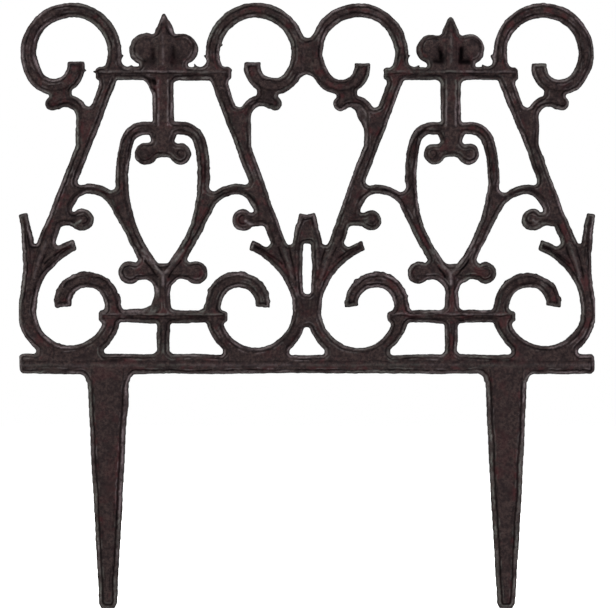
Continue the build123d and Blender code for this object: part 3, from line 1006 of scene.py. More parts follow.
    def rounded(self, height: np.ndarray, solid: np.ndarray) -> np.ndarray:
        """The clean height field of the casting.

        Args:
            height: front height of the nodes.
            solid: where the nodes have iron.

        Returns:
            Heights with soft ridges, filled valleys and a bevel along the whole outline.
        """
        grid, rounding = self.grid, self.rounding
        cover = solid.astype(float)
        close = grid.blur(cover, rounding.near)
        around = np.maximum(grid.blur(cover, rounding.far), TRACE)
        near = grid.blur(height, rounding.near) / np.maximum(close, TRACE)
        far = grid.blur(height, rounding.far) / around
        near = far + (near - far) * smooth_step(close, *rounding.thin)
        spread = np.where(solid, height, np.clip(near, self.land, rounding.fill_top))
        crown = grid.blur((height / MM) ** rounding.power, rounding.far) / around
        own = distance_to(~solid, grid.step, FIELD_REACH)
        self.buried = smooth_step(self.inward - own, *rounding.buried)
        top = rounding.lift * MM * crown ** (1 / rounding.power)
        spread += self.buried * np.maximum(top - spread, 0.0)
        wide = self.outline > -rounding.margin
        spread = np.where(wide, spread, 0.0)
        valley = grid.blur(spread, rounding.valley) - rounding.valley_depth
        spread = np.maximum(spread, np.minimum(valley, spread + rounding.valley_rise))
        edge = self.land + self.bevel_slope * np.maximum(self.inward - rounding.lip, 0.0)
        spread = np.minimum(spread, np.maximum(edge, self.land))
        share = grid.blur(wide.astype(float), rounding.soft)
        return grid.blur(spread, rounding.soft) / np.maximum(share, rounding.soft_trace)

    def drawn_lines(self) -> np.ndarray:
        """Relief of the ridges and grooves that run over the bays' faces.

        Returns:
            The height each line adds, negative in a groove, a little wavy and uneven in strength.
        """
        grid = self.grid
        xs, zs = grid.axes()
        rise = np.zeros(grid.shape)
        for line, centre, sign in mirrored_places(LINES):
            width = line.width_mm * MM
            corners = [(centre + sign * out * MM, height * MM) for out, height in line.points_mm]
            across, upward = zip(*corners)
            i0, i1 = np.searchsorted(xs, (min(across) - 3 * width, max(across) + 3 * width))
            j0, j1 = np.searchsorted(zs, (min(upward) - 3 * width, max(upward) + 3 * width))
            x, z = xs[i0:i1, None], zs[None, j0:j1]
            away = np.full((i1 - i0, j1 - j0), 3 * width)
            for (x0, z0), (x1, z1) in zip(corners, corners[1:]):
                span_x, span_z = x1 - x0, z1 - z0
                share = ((x - x0) * span_x + (z - z0) * span_z) / (span_x**2 + span_z**2)
                share = np.clip(share, 0.0, 1.0)
                away = np.minimum(away, np.hypot(x - x0 - share * span_x, z - z0 - share * span_z))
            profile = line.rise_mm * MM * np.exp(-((away / width) ** 2))
            patch = rise[i0:i1, j0:j1]
            stronger = np.abs(profile) > np.abs(patch)
            patch[stronger] = profile[stronger]
        x, z = grid.places()
        uneven = self.uneven
        wavy = grid.sample(rise, x + uneven.line_x.field(grid), z + uneven.line_z.field(grid))
        strength = 0.5 + 0.5 * uneven.line_patches.share(grid)
        return wavy * strength * smooth_step(self.inward, *uneven.line_edge)

    def shade_lines(self) -> None:
        """Fills crease and arris, from 0 to 1: how dark a crease is, part dark finish and part painted shade,
        and how light an edge is, part abrasion and part painted highlight, at each point.
        """
        grid, wear = self.grid, self.wear
        # Painted shade: concave hollows of the relief are darkened, except in filled corners.
        soft = grid.blur(self.relief, wear.hollow_blur)
        curve = neighbours(soft) - 4 * soft
        turn = smooth_step(-curve / grid.step**2, *wear.hollow) * smooth_step(self.inward, *wear.hollow_edge)
        turn *= 1 - grid.blur(self.buried, wear.hollow_clear)
        stake = self.on_stakes()
        wave = wear.crease_waves[0].field(grid) + wear.crease_waves[1].field(grid)
        wander = self.inward - wear.crease_in - wear.stake_crease * stake
        wander += wave * (1 - self.uneven.stake_calm * stake)
        there = wear.crease_least + (1 - wear.crease_least) * wear.crease_patches.share(grid)
        there = np.maximum(there, wear.stake_least * stake)
        contour = np.exp(-((wander / ((wear.crease_wide + wear.stake_wide * stake) * MM)) ** 2)) * there
        second = wear.second.along(wander) * wear.second_patches.share(grid)
        groove = -self.rise / wear.groove_depth
        crest = np.clip(self.rise / wear.crest_height, 0.0, 1.0)
        # The crease darkness is part dark finish and part painted shade.
        dark = np.maximum.reduce([wear.hollow_dark * turn, contour, second, groove])
        self.crease = np.clip(dark, 0.0, 1.0) * (1 - crest)
        # Light lines on the bevel, beside the crease, on ridges and over bevels: part abrasion, part painted
        # highlight.
        lit = wear.outer_least + (1 - wear.outer_least) * wear.outer_patches.share(grid)
        outer = wear.outer.along(wander) * lit
        inner = wear.inner.along(wander) * wear.inner_patches.share(grid)
        worn_and_lit_bevel = wear.bevel_light_share * smooth_step(-wander, *wear.bevel) * wear.bevel_patches.share(grid)
        self.arris = np.clip(np.maximum.reduce([outer, inner, crest, worn_and_lit_bevel]), 0.0, 1.0)

    def cast_face(self, seed: int) -> np.ndarray:
        """One face of the casting, with the marks of the sand.

        Args:
            seed: picks this face's marks.

        Returns:
            The face's distance from the middle plane.
        """
        grid, sand = self.grid, self.sand
        marks = np.zeros(grid.shape)
        for wave in sand.waves:
            marks += wave.field(grid, seed)
        pits = np.maximum(sand.pits.pattern(grid, seed) - sand.pit_level, 0.0)
        chips = np.maximum(sand.chips.pattern(grid, seed) - sand.chip_level, 0.0)
        chips *= smooth_step(-self.inward, *sand.chip_edge)
        waver = sand.streak.size_mm * sand.streak.pattern(grid, seed)
        streaks = np.sin(self.inward / sand.streak_apart + waver)
        marks += sand.streak_height * streaks * smooth_step(self.inward, *sand.streak_edge)
        clean = self.relief + self.rise - sand.crease_depth * self.crease + sand.arris_height * self.arris
        return clean + marks - sand.pits.size_mm * MM * pits - sand.chips.size_mm * MM * chips


@dataclass
class Shell:
    """The casting's surface on the mesh vertices, from which each piece is cut.

    Attributes:
        casting: the fields it is made from.
        snap_rounds: how often the rim is moved towards the outline.
        snap_limit: how far a rim vertex may move, as a share of a cell.
        least_slope: least squared slope of the distance field that a move is divided by.
        relax_rounds: how often the inner vertices are evened out.
    """

    casting: Casting
    snap_rounds: int = 3
    snap_limit: float = 0.72
    least_slope: float = 0.25
    relax_rounds: int = 6

    def build(self) -> None:
        """Chooses the cells, places the vertices and works out their normals."""
        grid = self.casting.grid
        self.cells = self.choose_cells(self.casting.outline[1::2, 1::2] > 0)
        nodes_x, nodes_z = self.cells.shape[0] + 1, self.cells.shape[1] + 1
        xs, zs = grid.axes()
        x, z = np.meshgrid(xs[::2], zs[::2], indexing="ij")
        touching = np.zeros((nodes_x, nodes_z), dtype=int)
        for di in (0, 1):
            for dj in (0, 1):
                touching[di:nodes_x - 1 + di, dj:nodes_z - 1 + dj] += self.cells
        self.used = touching > 0
        self.rim = self.used & (touching < 4)
        x, z = self.snapped(x, z)
        inner = self.used & ~self.rim
        for _ in range(self.relax_rounds):
            x, z = relaxed(x, inner), relaxed(z, inner)
        self.x, self.z = x, z
        self.outward = self.directions()
        low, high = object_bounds()
        sample = grid.sample
        self.front = np.minimum(sample(self.casting.front, x, z), -low[1])
        self.back = np.minimum(sample(self.casting.back, x, z), high[1])
        self.x = np.clip(x, low[0], high[0])
        self.z = np.clip(z, low[2], high[2])
        self.limits = (low, high)
        self.normals = self.shading_normals()

    def choose_cells(self, cells: np.ndarray) -> np.ndarray:
        """Adds cells where two touch by a corner only.

        Args:
            cells: which cells hold iron.

        Returns:
            Cells whose outline never touches itself.
        """
        cells = cells.copy()
        for _ in range(4):
            a, b = cells[:-1, :-1], cells[1:, :-1]
            c, d = cells[:-1, 1:], cells[1:, 1:]
            rising = a & d & ~b & ~c
            falling = b & c & ~a & ~d
            if not (rising.any() or falling.any()):
                break
            cells[1:, :-1] |= rising
            cells[:-1, :-1] |= falling
        return cells

    def snapped(self, x: np.ndarray, z: np.ndarray) -> tuple[np.ndarray, np.ndarray]:
        """Moves the vertices on the rim onto the outline.

        Args:
            x: X of every vertex.
            z: Z of every vertex.

        Returns:
            X and Z of every vertex after the move.
        """
        grid, outline = self.casting.grid, self.casting.outline
        start_x, start_z = x.copy(), z.copy()
        slope_x, slope_z = np.gradient(outline, grid.step)
        for _ in range(self.snap_rounds):
            distance = grid.sample(outline, x, z)
            way_x, way_z = grid.sample(slope_x, x, z), grid.sample(slope_z, x, z)
            length = np.maximum(way_x**2 + way_z**2, self.least_slope)
            x = np.where(self.rim, x - distance * way_x / length, x)
            z = np.where(self.rim, z - distance * way_z / length, z)
            away = np.hypot(x - start_x, z - start_z)
            limit = np.minimum(1.0, self.snap_limit * grid.pitch / np.maximum(away, 1e-9))
            x, z = start_x + (x - start_x) * limit, start_z + (z - start_z) * limit
        return x, z

    def directions(self) -> tuple[np.ndarray, np.ndarray]:
        """X and Z of the direction out of the iron at every vertex."""
        grid, outline = self.casting.grid, self.casting.outline
        slope_x, slope_z = np.gradient(outline, grid.step)
        way_x = -grid.sample(slope_x, self.x, self.z)
        way_z = -grid.sample(slope_z, self.x, self.z)
        length = np.maximum(np.hypot(way_x, way_z), 1e-6)
        return way_x / length, way_z / length

    def points(self) -> np.ndarray:
        """Every vertex: the front sheet, the back sheet and the mould line between them.

        Returns:
            An array of three sheets by columns by rows by X, Y, Z.
        """
        push = np.where(self.rim, self.casting.parting, 0.0)
        low, high = self.limits
        middle_x = np.clip(self.x + push * self.outward[0], low[0], high[0])
        middle_z = np.clip(self.z + push * self.outward[1], low[2], high[2])
        front = np.stack((self.x, -self.front, self.z), axis=-1)
        back = np.stack((self.x, self.back, self.z), axis=-1)
        middle = np.stack((middle_x, np.zeros_like(self.x), middle_z), axis=-1)
        return np.stack((front, back, middle))

    def faces(self, cells: np.ndarray) -> np.ndarray:
        """The closed skin of some of the cells.

        Args:
            cells: which cells the skin encloses.

        Returns:
            Four vertex numbers for each face, numbered over the sheets of points().
        """
        columns, rows = self.used.shape
        sheet = columns * rows
        number = np.arange(sheet).reshape(columns, rows)
        a, b = number[:-1, :-1], number[1:, :-1]
        c, d = number[1:, 1:], number[:-1, 1:]
        quads = [
            np.stack((a[cells], b[cells], c[cells], d[cells]), axis=-1),
            np.stack((a[cells], d[cells], c[cells], b[cells]), axis=-1) + sheet,
        ]
        closed = np.pad(cells, 1)
        around = (
            (closed[1:-1, :-2], a, b),
            (closed[2:, 1:-1], b, c),
            (closed[1:-1, 2:], c, d),
            (closed[:-2, 1:-1], d, a),
        )
        for neighbour, start, end in around:
            open_side = cells & ~neighbour
            p, q = start[open_side], end[open_side]
            quads.append(np.stack((q, p, p + 2 * sheet, q + 2 * sheet), axis=-1))
            quads.append(np.stack((q + 2 * sheet, p + 2 * sheet, p + sheet, q + sheet), axis=-1))
        return np.concatenate(quads)

    def shading_normals(self) -> np.ndarray:
        """Smooth normals over the whole casting, so that the cuts between pieces don't show.

        Returns:
            A normal for every vertex of points().
        """
        points = self.points().reshape(-1, 3)
        quads = self.faces(self.cells)
        across = points[quads[:, 2]] - points[quads[:, 0]]
        along = points[quads[:, 3]] - points[quads[:, 1]]
        facing = np.cross(across, along)
        total = np.zeros_like(points)
        for corner in range(4):
            for axis in range(3):
                total[:, axis] += np.bincount(quads[:, corner], facing[:, axis], minlength=len(points))
        length = np.maximum(np.linalg.norm(total, axis=1), 1e-15)
        return total / length[:, None]

    def cut(self, name: str, cells: np.ndarray) -> bpy.types.Object:
        """Makes a mesh object of some of the cells.

        Args:
            name: the piece's name.
            cells: which cells it holds.

        Returns:
            The new object, linked to the scene.
        """
        quads = self.faces(cells & self.cells)
        kept, corners = np.unique(quads, return_inverse=True)
        points = self.points().reshape(-1, 3)[kept]
        mesh = bpy.data.meshes.new(name)
        mesh.vertices.add(len(kept))
        mesh.vertices.foreach_set("co", points.astype(np.float32).ravel())
        mesh.loops.add(len(quads) * 4)
        mesh.loops.foreach_set("vertex_index", corners.astype(np.int32).ravel())
        mesh.polygons.add(len(quads))
        mesh.polygons.foreach_set("loop_start", np.arange(0, len(quads) * 4, 4, dtype=np.int32))
        mesh.polygons.foreach_set("use_smooth", np.ones(len(quads), dtype=bool))
        mesh.update(calc_edges=True)
        mesh.normals_split_custom_set_from_vertices(self.normals[kept].tolist())
        place_x, place_z = np.tile(self.x.ravel(), 3)[kept], np.tile(self.z.ravel(), 3)[kept]
        casting = self.casting
        fields = (("crease", casting.crease), ("arris", casting.arris), ("inward", casting.inward / MM))
        for title, values in fields:
            layer = mesh.attributes.new(title, "FLOAT", "POINT")
            layer.data.foreach_set("value", casting.grid.sample(values, place_x, place_z).astype(np.float32))
        piece = bpy.data.objects.new(name, mesh)
        bpy.context.scene.collection.objects.link(piece)
        return piece


def neighbours(values: np.ndarray) -> np.ndarray:
    """The sum of the four neighbours of every value."""
    return shifted(values, 1, 0) + shifted(values, -1, 0) + shifted(values, 0, 1) + shifted(values, 0, -1)


def relaxed(values: np.ndarray, free: np.ndarray) -> np.ndarray:
    """Moves each free value half way to the mean of its four neighbours.

    Args:
        values: one number for each vertex.
        free: which vertices may move.

    Returns:
        The new values.
    """
    return np.where(free, (values + neighbours(values) / 4) / 2, values)


@dataclass(frozen=True)
class Texture:
    """A noise texture and the span of it that is used.

    Attributes:
        scale: cells per metre.
        detail: octaves of finer noise.
        rough: how strong the finer octaves are.
        low: value at which its patches begin.
        high: value at which they are full.
    """

    scale: float
    detail: float
    rough: float
    low: float
    high: float


@dataclass(frozen=True)
class AntiqueIron:
    """Dark brown antique finish on rough cast iron: maroon where it is thick, grey on edges, part abrasion
    and part painted highlight, and black in creases, part dark finish and part painted shade.

    Attributes:
        ground: the brown of the flats.
        shade: the darker brown in its mottling.
        wine: the maroon of thick patches.
        rubbed: the grey of the lightened bevels, part abraded iron and part painted highlight.
        rubbed_cool: a greener grey among it.
        soot: the black of the creases, part dark finish and part painted shade, and of the darker outer edge.
        specular: level of the plain reflection.
        mottle: the fine mottling of ground and shade.
        cloud: larger dark clouds.
        cloud_share: how dark they are.
        wine_patch: the patches of maroon.
        wine_edge: distances from the edge, in mm, between which maroon begins.
        wine_fade: distances from the edge, in mm, between which it fades.
        wine_shares: how strong it is at those two.
        cool_patch: where the lightened grey is the greener one.
        edge_light_breakup: how the lightened edges, part abrasion and part painted highlight, are broken up.
        scuff: small scuffs on the flats.
        scuff_fade: distances from the edge, in mm, between which the scuffs fade.
        scuff_shares: how strong they are at those two.
        rim: distances from the edge, in mm, between which the darkening of the outer edge ends.
        crease_share: how black a full crease is, part dark finish and part painted shade.
        gloss: the noise that the roughness follows.
        roughness: the least and the most roughness.
        dull: how full a crease is when it has no reflection left.
        grain: the noise of the fine bump.
        grain_strength: strength of the bump.
        grain_height: height of the bump.
    """

    ground: tuple[float, float, float] = (0.047, 0.0305, 0.029)
    shade: tuple[float, float, float] = (0.0135, 0.0085, 0.0095)
    wine: tuple[float, float, float] = (0.056, 0.017, 0.019)
    # Grey of the edges: part abraded iron, part painted highlight.
    rubbed: tuple[float, float, float] = (0.21, 0.168, 0.178)
    rubbed_cool: tuple[float, float, float] = (0.14, 0.14, 0.13)
    # Black of the creases, part dark finish and part painted shade, and of the outer edge.
    soot: tuple[float, float, float] = (0.0022, 0.0018, 0.0022)
    specular: float = 0.07
    mottle: Texture = Texture(620.0, 4.0, 0.7, 0.35, 0.66)
    cloud: Texture = Texture(150.0, 4.0, 0.6, 0.46, 0.66)
    cloud_share: float = 0.6
    wine_patch: Texture = Texture(110.0, 5.0, 0.66, 0.5, 0.66)
    wine_edge: tuple[float, float] = (1.7, 2.4)
    wine_fade: tuple[float, float] = (3.4, 4.6)
    wine_shares: tuple[float, float] = (0.75, 0.25)
    cool_patch: Texture = Texture(34.0, 2.0, 0.5, 0.42, 0.6)
    edge_light_breakup: Texture = Texture(480.0, 3.0, 0.65, 0.26, 0.6)
    scuff: Texture = Texture(420.0, 3.0, 0.7, 0.6, 0.74)
    scuff_fade: tuple[float, float] = (2.8, 4.2)
    scuff_shares: tuple[float, float] = (0.28, 0.08)
    rim: tuple[float, float] = (0.42, 0.14)
    crease_share: float = 0.94
    gloss: Texture = Texture(150.0, 3.0, 0.6, 0.3, 0.7)
    roughness: tuple[float, float] = (0.4, 0.66)
    dull: float = 0.8
    grain: Texture = Texture(900.0, 6.0, 0.68, 0.0, 1.0)
    grain_strength: float = 0.5
    grain_height: float = 0.22 * MM

    def material(self) -> bpy.types.Material:
        """Makes the node material.

        Returns:
            The material, which reads the casting's crease, arris and inward attributes.
        """
        material = bpy.data.materials.new("antique_iron")
        material.use_nodes = True
        tree = material.node_tree
        shader = tree.nodes["Principled BSDF"]
        wiring = Wiring(tree)
        place = tree.nodes.new("ShaderNodeTexCoord").outputs["Object"]
        crease = wiring.attribute("crease")
        inward = wiring.attribute("inward")
        arris = wiring.attribute("arris")
        colour = wiring.mix(wiring.patches(place, self.mottle), self.shade, self.ground)
        cloud = wiring.times(wiring.patches(place, self.cloud), wiring.level(self.cloud_share))
        colour = wiring.mix(cloud, colour, self.shade)
        patch = wiring.times(wiring.patches(place, self.wine_patch), wiring.ramp(inward, *self.wine_edge))
        patch = wiring.times(patch, wiring.spread(inward, self.wine_fade, self.wine_shares))
        colour = wiring.mix(patch, colour, self.wine)
        # Grey on edges and ridges: part abrasion, part painted highlight.
        grey = wiring.mix(wiring.patches(place, self.cool_patch), self.rubbed, self.rubbed_cool)
        colour = wiring.mix(wiring.times(arris, wiring.patches(place, self.edge_light_breakup)), colour, grey)
        fade = wiring.spread(inward, self.scuff_fade, self.scuff_shares)
        colour = wiring.mix(wiring.times(wiring.patches(place, self.scuff), fade), colour, grey)
        # Black along the outer edge, then in creases, part dark finish and part painted shade.
        colour = wiring.mix(wiring.ramp(inward, *self.rim), colour, self.soot)
        colour = wiring.mix(wiring.times(crease, wiring.level(self.crease_share)), colour, self.soot)
        tree.links.new(colour, shader.inputs["Base Color"])
        span = (self.gloss.low, self.gloss.high)
        gloss = wiring.spread(wiring.noise(place, self.gloss), span, self.roughness)
        tree.links.new(gloss, shader.inputs["Roughness"])
        shine = wiring.spread(crease, (0.0, self.dull), (self.specular, 0.0))
        tree.links.new(shine, shader.inputs["Specular IOR Level"])
        bump = tree.nodes.new("ShaderNodeBump")
        bump.inputs["Strength"].default_value = self.grain_strength
        bump.inputs["Distance"].default_value = self.grain_height
        tree.links.new(wiring.noise(place, self.grain), bump.inputs["Height"])
        tree.links.new(bump.outputs["Normal"], shader.inputs["Normal"])
        return material


@dataclass
class Wiring:
    """Short ways to add nodes to a material.

    Attributes:
        tree: the node tree they go into.
    """

    tree: bpy.types.NodeTree

    def attribute(self, name: str) -> bpy.types.NodeSocket:
        """The value of a mesh attribute."""
        node = self.tree.nodes.new("ShaderNodeAttribute")
        node.attribute_name = name
        return node.outputs["Fac"]

    def noise(self, place: bpy.types.NodeSocket, texture: Texture) -> bpy.types.NodeSocket:
        """Adds a noise texture.

        Args:
            place: the coordinates it is read at.
            texture: its scale, detail and roughness.

        Returns:
            Its value, about 0.2 to 0.8.
        """
        node = self.tree.nodes.new("ShaderNodeTexNoise")
        node.inputs["Scale"].default_value = texture.scale
        node.inputs["Detail"].default_value = texture.detail
        node.inputs["Roughness"].default_value = texture.rough
        self.tree.links.new(place, node.inputs["Vector"])
        return node.outputs["Fac"]

    def patches(self, place: bpy.types.NodeSocket, texture: Texture) -> bpy.types.NodeSocket:
        """Patches of a noise texture, from 0 to 1."""
        return self.ramp(self.noise(place, texture), texture.low, texture.high)

    def spread(
        self, value: bpy.types.NodeSocket, span: tuple[float, float], ends: tuple[float, float]
    ) -> bpy.types.NodeSocket:
        """Stretches a span of a value so that it runs from one end to the other."""
        node = self.tree.nodes.new("ShaderNodeMapRange")
        node.inputs["From Min"].default_value, node.inputs["From Max"].default_value = span
        node.inputs["To Min"].default_value, node.inputs["To Max"].default_value = ends
        self.tree.links.new(value, node.inputs["Value"])
        return node.outputs["Result"]

    def ramp(self, value: bpy.types.NodeSocket, start: float, end: float) -> bpy.types.NodeSocket:
        """A smooth ramp from 0 at start to 1 at end, where start may be the larger."""
        node = self.tree.nodes.new("ShaderNodeMapRange")
        node.interpolation_type = "SMOOTHSTEP"
        low, high = min(start, end), max(start, end)
        node.inputs["From Min"].default_value = low
        node.inputs["From Max"].default_value = high
        node.inputs["To Min"].default_value = 0.0 if start < end else 1.0
        node.inputs["To Max"].default_value = 1.0 if start < end else 0.0
        self.tree.links.new(value, node.inputs["Value"])
        return node.outputs["Result"]

    def level(self, value: float) -> bpy.types.NodeSocket:
        """A constant share."""
        node = self.tree.nodes.new("ShaderNodeValue")
        node.outputs["Value"].default_value = value
        return node.outputs["Value"]

    def times(self, first: bpy.types.NodeSocket, second: bpy.types.NodeSocket) -> bpy.types.NodeSocket:
        """The product of two values."""
        node = self.tree.nodes.new("ShaderNodeMath")
        node.operation = "MULTIPLY"
        self.tree.links.new(first, node.inputs[0])
        self.tree.links.new(second, node.inputs[1])
        return node.outputs["Value"]

    def mix(
        self,
        share: bpy.types.NodeSocket,
        first: bpy.types.NodeSocket | tuple[float, float, float],
        second: bpy.types.NodeSocket | tuple[float, float, float],
    ) -> bpy.types.NodeSocket:
        """Mixes two colours.

        Args:
            share: how much of the second, from 0 to 1.
            first: a colour or a socket.
            second: a colour or a socket.

        Returns:
            The mixed colour.
        """
        node = self.tree.nodes.new("ShaderNodeMix")
        node.data_type = "RGBA"
        self.tree.links.new(share, node.inputs["Factor"])
        for title, colour in (("A", first), ("B", second)):
            socket = next(s for s in node.inputs if s.name == title and s.type == "RGBA")
            if isinstance(colour, tuple):
                socket.default_value = (*colour, 1.0)
            else:
                self.tree.links.new(colour, socket)
        return next(s for s in node.outputs if s.type == "RGBA")


BAY_NODES = ("crossbar", "tie_bar", "drop", "finial", "vase_foot", "post")
HALF_NODES = ("ring", "ground_scroll", "hook", "side_bar", "leaf", "vase_side", "arch_curl")


@dataclass
class ScrollworkBay:
    """One bay of scrollwork over the rail, up to the middle of the panel.

    Attributes:
        side: which end of the panel it is at.
        foot: height of the cut between the bay and the rail.
    """

    side: Side
    foot: float = RAIL_TOP_CUT

    def nodes(self) -> list[str]:
        """The frame's nodes that the bay stands for."""
        word = self.side.word
        names = [f"{word}_{piece}" for piece in BAY_NODES]
        names += [f"{word}_{place}_{piece}" for place in ("outer", "inner") for piece in HALF_NODES]
        if self.side is Side.LEFT:
            names += ["ring_bridge", "thorn_bridge", "scroll_bridge"]
        return names

    def build(self, shell: Shell, finish: bpy.types.Material) -> bpy.types.Object:
        """Cuts the bay from the shell and dresses it."""
        x, z = cell_middles(shell)
        cells = (z > self.foot) & (x * self.side.value > 0)
        return dress(shell.cut(f"{self.side.word}_bay_casting", cells), finish, self.nodes())


@dataclass
class BottomRail:
    """The rail along the ground line, with the stakes' shoulders.

    Attributes:
        underside: height of the cut between the rail and the stakes.
        top: height of the cut between the rail and the bays.
    """

    underside: float = RAIL_FOOT_CUT
    top: float = RAIL_TOP_CUT

    def build(self, shell: Shell, finish: bpy.types.Material) -> bpy.types.Object:
        """Cuts the rail from the shell and dresses it."""
        _, z = cell_middles(shell)
        cells = (z > self.underside) & (z < self.top)
        return dress(shell.cut("bottom_rail_casting", cells), finish, ["bottom_rail"])


@dataclass
class GroundStake:
    """One tapered stake under the rail.

    Attributes:
        side: which end of the panel it is at.
        head: height of the cut between the stake and the rail.
    """

    side: Side
    head: float = RAIL_FOOT_CUT

    def build(self, shell: Shell, finish: bpy.types.Material) -> bpy.types.Object:
        """Cuts the stake from the shell and dresses it."""
        x, z = cell_middles(shell)
        cells = (z < self.head) & (x * self.side.value > 0)
        return dress(shell.cut(f"{self.side.word}_stake_casting", cells), finish, [f"{self.side.word}_stake"])


def cell_middles(shell: Shell) -> tuple[np.ndarray, np.ndarray]:
    """X and Z of the middle of every mesh cell, before the vertices were moved."""
    xs, zs = shell.casting.grid.axes()
    return np.meshgrid(xs[1::2], zs[1::2], indexing="ij")


def dress(piece: bpy.types.Object, finish: bpy.types.Material, nodes: list[str]) -> bpy.types.Object:
    """Gives a casting its finish and its place in the frame.

    Args:
        piece: the new mesh object.
        finish: its material.
        nodes: the frame's nodes that it stands for.

    Returns:
        The same object.
    """
    piece.data.materials.append(finish)
    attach(piece, "root")
    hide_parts(*nodes)
    LOG.info("%s: %d vertices, %d faces, for %d nodes", piece.name, len(piece.data.vertices),
             len(piece.data.polygons), len(nodes))
    return piece


@dataclass(frozen=True)
class Lamp:
    """A soft rectangular studio lamp.

    Attributes:
        name: its name.
        place: where it stands.
        aim: what it points at.
        width: its width.
        height: its height.
        watts: its power.
        tint: its colour.
    """

    name: str
    place: tuple[float, float, float]
    aim: tuple[float, float, float]
    width: float
    height: float
    watts: float
    tint: tuple[float, float, float]

    def build(self) -> bpy.types.Object:
        """Makes the lamp and aims it."""
        data = bpy.data.lights.new(self.name, "AREA")
        data.shape = "RECTANGLE"
        data.size, data.size_y = self.width, self.height
        data.energy = self.watts
        data.color = self.tint
        lamp = bpy.data.objects.new(self.name, data)
        lamp.location = self.place
        way = Vector(self.aim) - Vector(self.place)
        lamp.rotation_euler = way.to_track_quat("-Z", "Y").to_euler()
        bpy.context.scene.collection.objects.link(lamp)
        return lamp


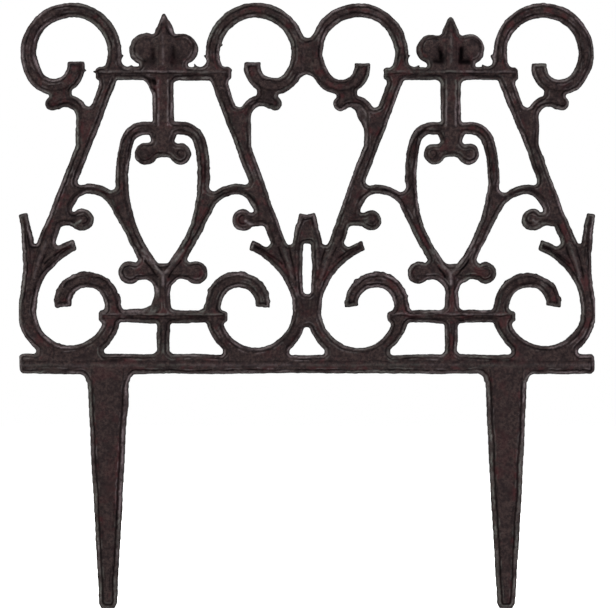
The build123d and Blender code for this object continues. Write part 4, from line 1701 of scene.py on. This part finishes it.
@dataclass(frozen=True)
class Studio:
    """The pale floor, the white surround, the lamps and the camera.

    Attributes:
        distance: from the camera to the panel.
        sensor: width of the camera's sensor, in its own millimetres.
        ambient: strength of the surround as light.
        far: the camera sees nothing past this distance.
        floor_size: side of the floor.
        floor_grey: its colour.
        floor_roughness: its roughness.
        floor_shine: level of its plain reflection.
        floor_glow: how much of the white it gives off itself as it is seen.
        lamps: the soft lamps.
    """

    distance: float = 2.6
    sensor: float = 36.0
    ambient: float = 0.16
    far: float = 30.0
    floor_size: float = 8.0
    floor_grey: float = 0.86
    floor_roughness: float = 0.9
    floor_shine: float = 0.1
    floor_glow: float = 0.84
    lamps: tuple[Lamp, ...] = (
        Lamp("left_softbox", (-1.35, -0.55, 0.45), (0.0, 0.0, 0.05), 0.8, 1.3, 15.0, (0.95, 1.0, 0.94)),
        Lamp("right_softbox", (1.35, -0.55, 0.25), (0.0, 0.0, 0.02), 0.8, 1.2, 13.5, (1.0, 0.93, 0.97)),
        Lamp("top_softbox", (0.0, -0.45, 1.35), (0.0, 0.0, 0.0), 1.2, 0.7, 10.3, (0.98, 1.0, 0.98)),
        Lamp("front_fill", (0.3, -2.2, 0.9), (0.0, 0.0, 0.0), 1.6, 1.0, 3.2, (1.0, 0.99, 0.98)),
        Lamp("back_softbox", (0.2, 1.6, 0.9), (0.0, 0.0, 0.0), 1.4, 1.0, 12.0, (1.0, 1.0, 1.0)),
    )

    def build(self) -> None:
        """Makes everything around the panel."""
        scene = bpy.context.scene
        scene.view_settings.view_transform = "Standard"
        self.surround(scene)
        self.floor()
        for lamp in self.lamps:
            lamp.build()
        self.camera(scene)

    def surround(self, scene: bpy.types.Scene) -> None:
        """A world that is white to the camera and in reflections, and softer as light."""
        world = bpy.data.worlds.new("surround")
        world.use_nodes = True
        scene.world = world
        tree = world.node_tree
        light = tree.nodes["Background"]
        light.inputs["Color"].default_value = WHITE
        light.inputs["Strength"].default_value = self.ambient
        white = tree.nodes.new("ShaderNodeBackground")
        white.inputs["Color"].default_value = WHITE
        white.inputs["Strength"].default_value = 1.0
        blend = tree.nodes.new("ShaderNodeMixShader")
        tree.links.new(seen_rays(tree), blend.inputs["Fac"])
        tree.links.new(light.outputs["Background"], blend.inputs[1])
        tree.links.new(white.outputs["Background"], blend.inputs[2])
        tree.links.new(blend.outputs["Shader"], tree.nodes["World Output"].inputs["Surface"])

    def floor(self) -> None:
        """A pale floor under the stakes' points, which keeps their shadow."""
        low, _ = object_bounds()
        half = self.floor_size / 2
        mesh = bpy.data.meshes.new("studio_floor")
        corners = [(x * half, y * half, low[2]) for x, y in ((-1, -1), (1, -1), (1, 1), (-1, 1))]
        mesh.from_pydata(corners, [], [(0, 1, 2, 3)])
        floor = bpy.data.objects.new("studio_floor", mesh)
        bpy.context.scene.collection.objects.link(floor)
        material = bpy.data.materials.new("pale_floor")
        material.use_nodes = True
        tree = material.node_tree
        shader = tree.nodes["Principled BSDF"]
        shader.inputs["Base Color"].default_value = (self.floor_grey, self.floor_grey, self.floor_grey, 1.0)
        shader.inputs["Roughness"].default_value = self.floor_roughness
        shader.inputs["Specular IOR Level"].default_value = self.floor_shine
        shader.inputs["Emission Color"].default_value = WHITE
        share = tree.nodes.new("ShaderNodeMath")
        share.operation = "MULTIPLY"
        share.inputs[1].default_value = self.floor_glow
        tree.links.new(seen_rays(tree), share.inputs[0])
        tree.links.new(share.outputs["Value"], shader.inputs["Emission Strength"])
        mesh.materials.append(material)
        floor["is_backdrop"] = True

    def camera(self, scene: bpy.types.Scene) -> None:
        """A long lens square to the panel, framed as the photograph is."""
        half_frame = PHOTO_SIZE / 2
        aim_x = (half_frame - PHOTO_CENTRE_X) * PHOTO_MM_PER_PIXEL * MM
        aim_z = (PHOTO_GROUND_ROW - half_frame) * PHOTO_MM_PER_PIXEL * MM
        data = bpy.data.cameras.new("camera")
        data.sensor_width = self.sensor
        data.lens = self.sensor * self.distance / (PHOTO_SIZE * PHOTO_MM_PER_PIXEL * MM)
        data.clip_end = self.far
        camera = bpy.data.objects.new("camera", data)
        camera.location = (aim_x, -self.distance, aim_z)
        camera.rotation_euler = (math.radians(90), 0.0, 0.0)
        scene.collection.objects.link(camera)
        scene.camera = camera


def seen_rays(tree: bpy.types.NodeTree) -> bpy.types.NodeSocket:
    """Adds a value that is 1 for camera, glossy and transmission rays.

    Args:
        tree: the node tree it goes into.

    Returns:
        The value's socket.
    """
    path = tree.nodes.new("ShaderNodeLightPath")
    total = path.outputs["Is Camera Ray"]
    for title in ("Is Glossy Ray", "Is Transmission Ray"):
        larger = tree.nodes.new("ShaderNodeMath")
        larger.operation = "MAXIMUM"
        tree.links.new(total, larger.inputs[0])
        tree.links.new(path.outputs[title], larger.inputs[1])
        total = larger.outputs["Value"]
    return total


def main() -> None:
    """Builds the castings over the frame and the studio around them."""
    logging.basicConfig(level=logging.INFO, format="%(name)s %(message)s")
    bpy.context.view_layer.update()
    casting = Casting()
    casting.read()
    shell = Shell(casting)
    shell.build()
    finish = AntiqueIron().material()
    for side in Side:
        ScrollworkBay(side).build(shell, finish)
    BottomRail().build(shell, finish)
    for side in Side:
        GroundStake(side).build(shell, finish)
    Studio().build()


if __name__ == "__main__":
    main()
